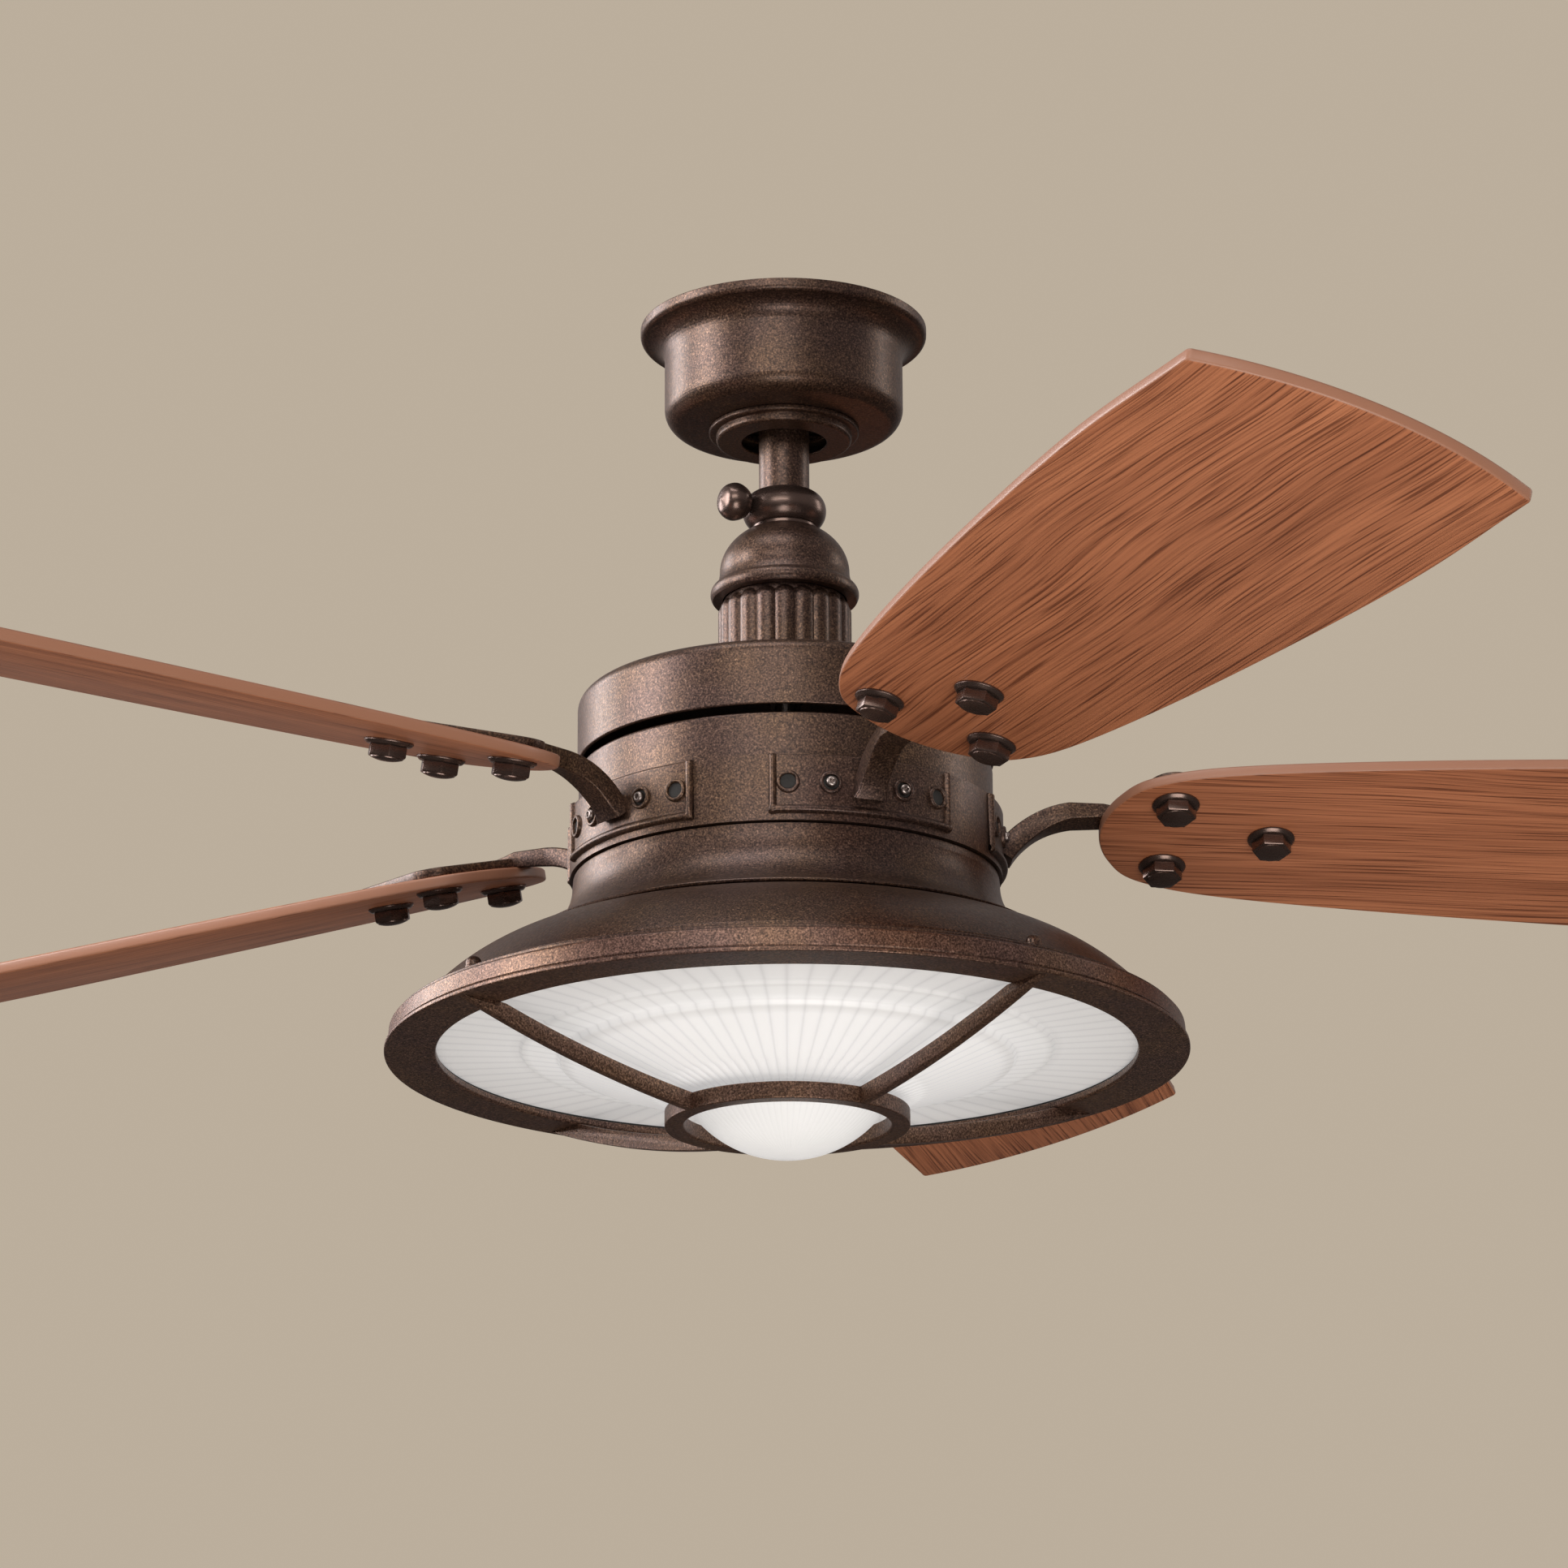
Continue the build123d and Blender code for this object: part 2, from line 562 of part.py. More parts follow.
def blade(index):
    """A paddle blade: round root, sides that widen outward, shallow arc at the tip."""
    round_off = 3.0
    side_end = (BLADE_CORNER - round_off, BLADE_HALF_WIDTH)
    elbow = (BLADE_CORNER - 0.3 * round_off, BLADE_HALF_WIDTH - 0.35 * round_off)
    tip_start = (BLADE_CORNER + 0.1, BLADE_HALF_WIDTH - round_off)
    half_side = [side_end, (BLADE_ROOT + 365, 83.4), (BLADE_ROOT + 201, 74.4),
                 (BLADE_ROOT + 76, 61.5), (BLADE_ROOT + 26, 47.8)]
    other_half = [(x, -y) for x, y in reversed(half_side)]
    sides = Spline(*half_side, (BLADE_ROOT, 0), *other_half,
                   tangents=((-1, 0.02), (1, 0.02)))
    corner = ThreePointArc(side_end, elbow, tip_start)
    other_corner = ThreePointArc((side_end[0], -side_end[1]), (elbow[0], -elbow[1]),
                                 (tip_start[0], -tip_start[1]))
    tip = ThreePointArc(tip_start, (SWEEP_R, 0), (tip_start[0], -tip_start[1]))
    board = extrude(make_face([sides, other_corner, tip, corner]), BLADE_THICKNESS)
    for x, y in BOLT_PLACES:
        board -= rod(BOLT_R + 0.1, -1, BLADE_THICKNESS + 1, x, y)
    return blade_place(index) * board


def iron_foot():
    """The curved foot that lies on the belt, with soft edges."""
    foot = tube(PLATE_R, BELT_R, PLATE_BOTTOM_Z, BELT_TOP_Z)
    reach = 2 * PLATE_R
    corner = reach * sin(radians(PLATE_HALF_ANGLE))
    wedge_face = make_face(Polyline((0, 0), (reach * cos(radians(PLATE_HALF_ANGLE)), corner),
                                    (reach * cos(radians(PLATE_HALF_ANGLE)), -corner),
                                    close=True).edges())
    wedge = Pos(0, 0, PLATE_BOTTOM_Z - 1) * extrude(wedge_face, 40)
    foot &= wedge
    outside = [edge for edge in foot.edges()
               if all(abs(sqrt(v.X ** 2 + v.Y ** 2) - PLATE_R) < 0.01 for v in edge.vertices())]
    return fillet(outside, 1.3)


def arm_section(bend, twist, thickness):
    """A cross-section of the arm where its curve has turned to the given slope."""
    slope = radians(bend)
    roll = radians(twist)
    centre_r, centre_z = ARM_BEND_CENTRE
    origin = (centre_r - ARM_BEND_R * sin(slope), 0, centre_z + ARM_BEND_R * cos(slope))
    across = (-sin(roll) * sin(slope), cos(roll), sin(roll) * cos(slope))
    plane = Plane(origin=origin, x_dir=across, z_dir=(cos(slope), 0, sin(slope)))
    return plane * Rectangle(ARM_WIDTH, thickness)


def iron_pad(local):
    """The flat pad on top of the blade, in the blade's own frame."""
    rounds = [Pos(x, y) * Circle(14.5) for x, y in BOLT_PLACES]
    rounds.append(Pos(BLADE_ROOT + 8, 0) * Circle(8.0))
    outline = make_hull([edge for shape in rounds for edge in shape.edges()])
    pad = Pos(0, 0, BLADE_THICKNESS) * extrude(outline, PAD_THICKNESS)
    for x, y in BOLT_PLACES:
        pad -= rod(BOLT_R + 0.05, BLADE_THICKNESS - 1, BLADE_THICKNESS + PAD_THICKNESS + 1, x, y)
    return local * pad


def blade_iron(index):
    """One casting: foot on the belt, arm that bends outward, pad on top of the blade."""
    local = Pos(0, 0, BLADE_Z) * Rot(0, BLADE_DROOP, 0) * Rot(BLADE_PITCH, 0, 0)
    foot = iron_foot()
    for angle in SOCKET_ANGLES:
        foot -= radial_bar(SOCKET_R, ROTOR_R, PLATE_R + 2, angle, SOCKET_Z)
        foot -= radial_bar(SOCKET_R + SOCKET_RIM, PLATE_R - SOCKET_SINK, PLATE_R + 2, angle, SOCKET_Z)
    root_slope = degrees(asin((ARM_BEND_CENTRE[0] - PLATE_R + 2.4) / ARM_BEND_R))
    sections = [arm_section(root_slope, 0, ARM_THICKNESS),
                arm_section(40, 0, ARM_THICKNESS),
                arm_section(24, 0.15 * BLADE_PITCH, ARM_THICKNESS - 0.2),
                arm_section(8, 0.6 * BLADE_PITCH, ARM_THICKNESS - 1.6)]
    pad_middle = BLADE_THICKNESS + PAD_THICKNESS / 2
    face_out = Rot(0, 90, 0) * Rot(0, 0, 90)
    for station, thickness in ((BLADE_ROOT + 1, 6.4), (BLADE_ROOT + 12, PAD_THICKNESS)):
        place = local * Pos(station, 0, BLADE_THICKNESS + thickness / 2) * face_out
        sections.append(place * Rectangle(ARM_WIDTH, thickness))
    arm = loft(sections)
    arm -= rod(BELT_R, PLATE_BOTTOM_Z - 10, BELT_TOP_Z + 20)
    arm -= local * block((BLADE_ROOT - 1, SWEEP_R), (-60, 60), (-10, BLADE_THICKNESS))
    return turned(foot + arm + iron_pad(local), blade_azimuth(index))


def blade_bolts():
    """Three flanged hex bolts per blade, up through the blade into the iron's pad."""
    flange = Cone(BOLT_FLANGE_R, 10.6, 2.4, align=(Align.CENTER, Align.CENTER, Align.MAX),
                  rotation=(180, 0, 0))
    flange = Pos(0, 0, -2.4) * flange
    hexagon = extrude(RegularPolygon(10.2, 6), 5.8)
    hexagon = Pos(0, 0, -8.0) * hexagon
    crown = Pos(0, 0, -8.0) * Cylinder(8.4, 0.9, align=(Align.CENTER, Align.CENTER, Align.MAX))
    button = Pos(0, 0, 9.0) * Sphere(19.2) & rod(7.6, -11, -8.7)
    shank = rod(BOLT_R, -2, BLADE_THICKNESS + PAD_THICKNESS)
    bolt = flange + hexagon + crown + button + shank
    return [blade_place(index) * Pos(x, y, 0) * bolt
            for index in range(BLADES) for x, y in BOLT_PLACES]


def iron_screws():
    """The pan-head screws in each foot's two inner sockets."""
    screws = []
    for index in range(BLADES):
        for angle in SOCKET_ANGLES[1:3]:
            azimuth = blade_azimuth(index) + angle
            shank = radial_bar(SOCKET_R - 0.1, ROTOR_R, PLATE_R - SOCKET_SINK, azimuth, SOCKET_Z)
            head = radial_bar(4.2, PLATE_R - SOCKET_SINK, PLATE_R + 1.6, azimuth, SOCKET_Z)
            nose = radial_bar(2.6, PLATE_R + 1.6, PLATE_R + 3.6, azimuth, SOCKET_Z)
            recess = radial_bar(1.3, PLATE_R + 1.0, PLATE_R + 4.0, azimuth, SOCKET_Z)
            screws.append(shank + head + nose - recess)
    return screws


# ---- light --------------------------------------------------------------------------
def lower_housing():
    """The still skirt under the drum: a cove that flares out to a lip, with a floor."""
    top = ROTOR_BOTTOM_Z - 1.0
    start = top - 3.8
    cove_r = 32.2
    turn = asin((start - LIP_Z) / cove_r)
    half = turn / 2

    def cove(radius, angle):
        return HOUSING_R + cove_r - radius * cos(angle), start - radius * sin(angle)

    inside = cove_r + SKIN
    foot = cove(inside, turn)
    outline = [Line((HOUSING_R, top), (HOUSING_R, start)),
               ThreePointArc(cove(cove_r, 0), cove(cove_r, half), cove(cove_r, turn)),
               Line(cove(cove_r, turn), (LIP_R, PAN_TOP_Z)),
               Line((LIP_R, PAN_TOP_Z), (SHAFT_R, PAN_TOP_Z)),
               Line((SHAFT_R, PAN_TOP_Z), (SHAFT_R, PAN_TOP_Z + SKIN)),
               Line((SHAFT_R, PAN_TOP_Z + SKIN), (foot[0] - 1.5, PAN_TOP_Z + SKIN)),
               Line((foot[0] - 1.5, PAN_TOP_Z + SKIN), foot),
               ThreePointArc(foot, cove(inside, half), cove(inside, 0)),
               Line(cove(inside, 0), (HOUSING_R - SKIN, top)),
               Line((HOUSING_R - SKIN, top), (HOUSING_R, top))]
    return ring_points(outline)


def light_pan():
    """The flared pan above the glass, bulging a little, with a flat foot on the cage ring."""
    bulge = (161.8, -350.4)
    under = PAN_TOP_Z - SKIN
    top_shoulder = (PAN_SHOULDER_R, PAN_TOP_Z)
    under_shoulder = (PAN_SHOULDER_R - 0.5, under)
    foot = (PAN_R, PAN_FOOT_Z)
    inner_foot = (PAN_R - 1.4, PAN_FOOT_Z - 0.8)
    outline = [Line((SHAFT_R, PAN_TOP_Z), top_shoulder),
               ThreePointArc(top_shoulder, bulge, foot),
               Line(foot, (PAN_R + 0.6, FLANGE_TOP_Z)),
               Line((PAN_R + 0.6, FLANGE_TOP_Z), (FLANGE_R, FLANGE_TOP_Z)),
               Line((FLANGE_R, FLANGE_TOP_Z), (FLANGE_R, RING_TOP_Z)),
               Line((FLANGE_R, RING_TOP_Z), (inner_foot[0], RING_TOP_Z)),
               Line((inner_foot[0], RING_TOP_Z), inner_foot),
               ThreePointArc(inner_foot, (bulge[0] - 0.9, bulge[1] - 1.3), under_shoulder),
               Line(under_shoulder, (SHAFT_R, under)),
               Line((SHAFT_R, under), (SHAFT_R, PAN_TOP_Z))]
    pan = ring_points(outline)
    for x, y in circle_of(3, PAN_SCREW_CIRCLE_R, 30.0):
        pan -= rod(SCREW_HOLE_R, under - 1, PAN_TOP_Z + 1, x, y)
    for x, y in circle_of(RIBS, NUT_CIRCLE_R, FIRST_RIB):
        pan -= rod(TAP_R, RING_TOP_Z - 1, FLANGE_TOP_Z + 1, x, y)
    return pan


def pan_screws():
    """Three screws that hold the pan and the lamp plate up to the housing's floor."""
    screws = []
    foot = LAMP_PLATE_Z
    for x, y in circle_of(3, PAN_SCREW_CIRCLE_R, 30.0):
        screws.append(rod(4.0, foot - 2.6, foot, x, y) + rod(SCREW_R, foot, PAN_TOP_Z, x, y))
    return screws


def shaft_nut():
    """The lock nut that clamps housing and pan on the shaft."""
    nut = Pos(0, 0, PAN_TOP_Z - SKIN - 7) * extrude(RegularPolygon(14, 6), 7)
    return nut - rod(SHAFT_R, PAN_TOP_Z - 20, PAN_TOP_Z)


def lamp_plate():
    """The white plate that carries the lamp sockets, on three stand-off posts."""
    plate = tube(LAMP_PLATE_R, 16.5, LAMP_PLATE_Z, LAMP_PLATE_Z + 1.2)
    for x, y in circle_of(3, PAN_SCREW_CIRCLE_R, 30.0):
        plate += rod(5.0, LAMP_PLATE_Z, PAN_TOP_Z - SKIN, x, y)
        plate -= rod(SCREW_HOLE_R, LAMP_PLATE_Z - 1, PAN_TOP_Z, x, y)
    return plate


def lamp_azimuth(index):
    """Where lamp number index points."""
    return 90.0 + 360.0 * index / LAMPS


def lamp_socket(index):
    """A small screw-base socket lying level, on a foot under the lamp plate."""
    azimuth = lamp_azimuth(index)
    body = radial_bar(SOCKET_BODY_R, 26, 56, azimuth, LAMP_Z)
    foot = turned(block((30, 52), (-8, 8), (LAMP_Z + 8, LAMP_PLATE_Z)), azimuth)
    return body + foot - radial_bar(6.1, 32, 58, azimuth, LAMP_Z)


def bulb(index):
    """A small round lamp with its screw base in the socket."""
    azimuth = lamp_azimuth(index)
    base = radial_bar(6.0, 34, 58, azimuth, LAMP_Z)
    neck, length = 57.0, 45.0
    globe = ring_points([Line((0, 0), (6, 0)),
                         Spline((6, 0), (9.5, 9), (13.5, 23), (11.0, 37), (0, length),
                                tangents=((0.4, 1), (-1, 0))),
                         Line((0, length), (0, 0))])
    globe = Rot(0, 0, azimuth) * Pos(neck, 0, LAMP_Z) * Rot(0, 90, 0) * globe
    return base + globe


def glass_diffuser():
    """The frosted glass: flat rim, two low steps, a shallow bowl and a round nose."""
    neck_r = 51.0
    dome_z = GLASS_BOTTOM_Z + DOME_R
    neck_z = dome_z - sqrt(DOME_R ** 2 - neck_r ** 2)
    part_r = 30.0
    part_z = dome_z - sqrt(DOME_R ** 2 - part_r ** 2)
    inner_r = DOME_R - GLASS_SKIN
    inner_neck = neck_r - 2.0
    inner_z = dome_z - sqrt(inner_r ** 2 - inner_neck ** 2)
    inner_part = dome_z - sqrt(inner_r ** 2 - part_r ** 2)
    rim_top = -382.4
    under = [(GLASS_R, -386.0), (176.5, -386.0), (134.2, -387.4), (132.7, -389.2), (115.2, -391.4),
             (113.5, -394.2), (62.0, -411.5), (neck_r, neck_z)]
    over = [(inner_neck, inner_z), (63.5, -407.6), (112.0, -390.6), (114.0, -387.6),
            (131.6, -385.6), (134.0, -383.8), (GLASS_R, rim_top)]
    outline = Polyline(*under).edges()
    outline += ThreePointArc(under[-1], (part_r, part_z), (0, GLASS_BOTTOM_Z)).edges()
    outline += Line((0, GLASS_BOTTOM_Z), (0, dome_z - inner_r)).edges()
    outline += ThreePointArc((0, dome_z - inner_r), (part_r, inner_part), over[0]).edges()
    outline += Polyline(*over).edges()
    outline += Line(over[-1], under[0]).edges()
    return ring_points(outline)


def glass_gasket():
    """The soft ring between the glass and the cage's ledge."""
    return tube(183.0, 177.0, LEDGE_Z, -386.0)


def cage_ring():
    """The cage's big ring: banded wall, thin lip, flat underside and a ledge for the glass."""
    points = [(RING_INNER_R, LEDGE_Z), (RING_INNER_R, RING_BOTTOM_Z), (RING_R, RING_BOTTOM_Z),
              (RING_R, -389.0), (199.6, -388.2), (200.2, -387.2), (199.6, RING_TOP_Z),
              (LEDGE_R, RING_TOP_Z), (LEDGE_R, LEDGE_Z)]
    radii = [0.6, 1.6, 0.7, 0.5, 0.0, 0.6, 1.6, 0.5, 0.0]
    ring = lathe(points, radii)
    for x, y in circle_of(RIBS, NUT_CIRCLE_R, FIRST_RIB):
        ring -= rod(TAP_R, RING_TOP_Z - 6, RING_TOP_Z + 1, x, y)
    return ring


def cage_eye_ring():
    """The cage's small ring round the nose of the glass."""
    points = [(EYE_INNER_R, EYE_BOTTOM_Z), (EYE_R, EYE_BOTTOM_Z),
              (EYE_R, EYE_BOTTOM_Z + RIB_HEIGHT), (EYE_INNER_R, EYE_BOTTOM_Z + RIB_HEIGHT)]
    return lathe(points, [1.4, 0.6, 0.6, 0.6])


def cage_rib(index):
    """A bar on edge that sags from the big ring, where it thins to a point, to the eye."""
    tip_r = RING_R - 3.0
    middle = ((tip_r + EYE_R) / 2 - 1.0, (RING_BOTTOM_Z + EYE_BOTTOM_Z) / 2 - RIB_SAG)
    low = ThreePointArc((tip_r, RING_BOTTOM_Z), middle, (EYE_R - 3, EYE_BOTTOM_Z - 0.4))
    high = Pos(0, RIB_HEIGHT) * low
    ends = [Line(low @ 0, high @ 0), Line(high @ 1, low @ 1)]
    side = make_face(list(low.edges()) + list(high.edges()) + ends)
    bar = extrude(Plane.XZ * side, RIB_THICKNESS / 2, both=True)
    bar &= block((0, 250), (-20, 20), (EYE_BOTTOM_Z - 20, RING_BOTTOM_Z))
    bar -= rod(EYE_R, EYE_BOTTOM_Z - 20, RING_BOTTOM_Z + 20)
    return turned(bar, FIRST_RIB + 360.0 * index / RIBS)


def cage_cap_nuts():
    """Four domed nuts on the ring's studs, outside the pan."""
    nuts = []
    for x, y in circle_of(RIBS, NUT_CIRCLE_R, FIRST_RIB):
        dome = Pos(x, y, FLANGE_TOP_Z + 2.6) * Sphere(3.9)
        dome &= rod(3.9, FLANGE_TOP_Z, FLANGE_TOP_Z + 8, x, y)
        stud = rod(1.5, RING_TOP_Z - 5.5, FLANGE_TOP_Z + 1, x, y)
        nuts.append(rod(4.2, FLANGE_TOP_Z, FLANGE_TOP_Z + 1.2, x, y) + dome + stud)
    return nuts


# ---- every node ---------------------------------------------------------------------
def all_pieces():
    """Node name to its solid, or to a list of solids for a group of like fasteners."""
    pieces = {
        "hanger_bracket": hanger_bracket(),
        "canopy": canopy(),
        "canopy_screws": canopy_screws(),
        "receiver": receiver(),
        "canopy_trim_ring": canopy_trim_ring(),
        "ball_cup": ball_cup(),
        "hanger_ball": hanger_ball(),
        "ball_pin": ball_pin(),
        "downrod": downrod(),
        "wire_bundle": wire_bundle(),
        "motor_yoke": motor_yoke(),
        "yoke_pin": yoke_pin(),
        "cotter_pin": cotter_pin(),
        "collar": collar(),
        "thumb_screw": thumb_screw(),
        "yoke_cover": yoke_cover(),
        "fluted_column": fluted_column(),
        "motor_top_shell": motor_top_shell(),
        "shell_screws": shell_screws(),
        "motor_shaft": motor_shaft(),
        "stator_core": stator_core(),
        "stator_windings": stator_windings(),
        "upper_bearing": bearing(ROTOR_TOP_Z - 10.5),
        "lower_bearing": bearing(ROTOR_BOTTOM_Z - 0.2),
        "rotor_housing": rotor_housing(),
        "rotor_base": rotor_base(),
        "rotor_magnets": rotor_magnets(),
        "belt_ring": belt_ring(),
        "iron_screws": iron_screws(),
        "blade_bolts": blade_bolts(),
        "lower_housing": lower_housing(),
        "light_pan": light_pan(),
        "pan_screws": pan_screws(),
        "shaft_nut": shaft_nut(),
        "lamp_plate": lamp_plate(),
        "glass_diffuser": glass_diffuser(),
        "glass_gasket": glass_gasket(),
        "cage_ring": cage_ring(),
        "cage_eye_ring": cage_eye_ring(),
        "cage_cap_nuts": cage_cap_nuts(),
    }
    for index in range(BLADES):
        pieces[f"blade_{index + 1}"] = blade(index)
        pieces[f"blade_iron_{index + 1}"] = blade_iron(index)
    for index in range(LAMPS):
        pieces[f"lamp_socket_{index + 1}"] = lamp_socket(index)
        pieces[f"bulb_{index + 1}"] = bulb(index)
    for index in range(RIBS):
        pieces[f"cage_rib_{index + 1}"] = cage_rib(index)
    return pieces


def solids_of(piece):
    """The separate solids of a piece or of a list of pieces."""
    if isinstance(piece, list):
        return [solid for member in piece for solid in member.solids()]
    return list(piece.solids())


os.makedirs("parts", exist_ok=True)
for name, piece in all_pieces().items():
    solids = solids_of(piece)
    shape = solids[0] if len(solids) == 1 else Compound(children=solids)
    export_step(shape, f"parts/{name}.step")
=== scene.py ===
"""Five-blade ceiling fan with a caged glass light: the visual model round the CAD frame.

Shapes are in millimetres until they become mesh vertices; lights and camera are in metres.
The origin is on the ceiling and +Z is up, as in the CAD, so heights on the fan are negative.
"""
import json
from math import asin, atan2, ceil, cos, degrees, hypot, pi, radians, sin, sqrt

import bmesh
import bpy
from mathutils import Matrix, Vector


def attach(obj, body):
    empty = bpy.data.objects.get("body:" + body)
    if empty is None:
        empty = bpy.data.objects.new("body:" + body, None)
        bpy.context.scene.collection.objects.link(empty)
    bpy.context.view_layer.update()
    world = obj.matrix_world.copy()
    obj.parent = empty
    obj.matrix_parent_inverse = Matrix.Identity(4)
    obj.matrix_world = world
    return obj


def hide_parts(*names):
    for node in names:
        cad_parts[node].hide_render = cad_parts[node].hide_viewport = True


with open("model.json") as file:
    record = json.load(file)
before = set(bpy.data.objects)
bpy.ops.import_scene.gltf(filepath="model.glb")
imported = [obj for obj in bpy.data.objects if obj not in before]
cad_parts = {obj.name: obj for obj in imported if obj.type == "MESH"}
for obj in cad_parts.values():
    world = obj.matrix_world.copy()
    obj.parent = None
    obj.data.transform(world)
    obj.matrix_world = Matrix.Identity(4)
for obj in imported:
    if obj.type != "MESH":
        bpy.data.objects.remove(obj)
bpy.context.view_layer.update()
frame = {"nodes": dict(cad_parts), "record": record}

MM = 0.001
TURNS = 224                     # steps round a large lathed piece
FINE_TURNS = 48                 # steps round a small one

# ---- sizes shared with the CAD ---------------------------------------------------------
ROD_R, ROD_BORE_R, ROD_TOP_Z, ROD_BOTTOM_Z = 13.0, 11.0, -12.0, -150.0
SKIN = 1.5                      # wall of the canopy, the skirt and the pan
CANOPY_LIP_R, CANOPY_BODY_R, CANOPY_BOTTOM_Z, CANOPY_HOLE_R = 74.4, 61.8, -55.4, 24.0
TRIM_OUTER_R, TRIM_INNER_R, TRIM_HOLE_R, TRIM_BOTTOM_Z = 38.9, 35.1, 22.0, -62.8
COLLAR_R, COLLAR_Z, COLLAR_TOP_Z, COLLAR_BOTTOM_Z = 21.6, -100.5, -91.0, -111.5
COLLAR_SWELL, COLLAR_HALF_HEIGHT = 9.0, 10.0
THUMB_AZIMUTH, THUMB_SCREW_R, KNOB_CENTRE = 212.0, 2.5, 30.4
KNOB_R, KNOB_HALF_LENGTH = 9.9, 8.2
BEAD_R, BEAD_BOTTOM_Z = 38.2, -149.5
COLUMN_R, COLUMN_BORE_R, REEDS = 34.2, 30.4, 20
SHELL_R, SHELL_TOP_Z, SHELL_BOTTOM_Z = 106.0, -203.5, -238.0
SHELL_CROWN_Z, SHELL_WALL, SHAFT_HOLE_R = SHELL_TOP_Z + 4.0, 2.0, 9.0
ROTOR_R, ROTOR_TOP_Z, ROTOR_BOTTOM_Z = 105.3, -242.0, -299.2
ROTOR_WALL, BEARING_SEAT_R, BEARING_WIDTH, SEAT_WALL = 3.0, 17.05, 11.0, 4.0
CUP_R, CUP_OUTER_R, CUP_BOTTOM_Z = 84.0, 89.0, -286.0   # the drum's wall round the magnets
BELT_R, BELT_TOP_Z = 109.5, -265.5
BLADES, FIRST_BLADE, SWEEP_R = 5, -68.4, 660.7
BLADE_ROOT, BLADE_CORNER, BLADE_HALF_WIDTH, BLADE_THICKNESS = 160.0, 643.0, 81.5, 6.0
BLADE_PITCH, BLADE_DROOP, BLADE_Z = -14.7, 1.13, -268.3
BOLT_PLACES = ((195.6, 30.0), (195.6, -30.0), (248.0, 0.0))
PLATE_HALF_ANGLE, PLATE_R, PLATE_BOTTOM_Z = 26.0, 112.3, -296.0
ARM_WIDTH, ARM_THICKNESS, ARM_BEND_R = 14.0, 11.0, 50.0
ARM_BEND_CENTRE = (152.0, -312.2)
FOOT_PROUD, FOOT_BORDER = 2.0, 4.0   # height and width of the raised border of a foot
PAD_THICKNESS, PAD_R = 5.0, 14.5
SOCKET_ANGLES, SOCKET_Z = (-21.0, -10.0, 10.0, 21.0), -280.0
HOUSING_R, LIP_R, LIP_Z, PAN_TOP_Z = 108.2, 133.3, -335.4, -337.0
LEAD_HOLE_R, COVE_R = 8.0, 32.2
PAN_SHOULDER_R, PAN_BULGE = 131.0, (161.8, -350.4)
PAN_R, PAN_FOOT_Z, FLANGE_TOP_Z, FLANGE_R = 187.0, -372.5, -376.5, 197.5
RING_R, RING_INNER_R, RING_TOP_Z, RING_BOTTOM_Z = 202.0, 176.0, -378.3, -391.0
LEDGE_R, LEDGE_Z = 184.5, -387.0
RIBS, FIRST_RIB, RIB_THICKNESS, RIB_HEIGHT, RIB_SAG = 4, -52.0, 5.0, 8.5, 4.0
EYE_R, EYE_INNER_R, EYE_BOTTOM_Z = 61.5, 52.0, -427.0
NUT_CIRCLE_R = 192.0
GLASS_R, GLASS_SKIN, GLASS_BOTTOM_Z, DOME_R = 183.4, 3.5, -442.5, 61.0
GLASS_NECK_R, GLASS_FLUTES = 51.0, 80
GRAIN_STEP = (900.0, 237.0)     # gives every board its own stretch of the wood


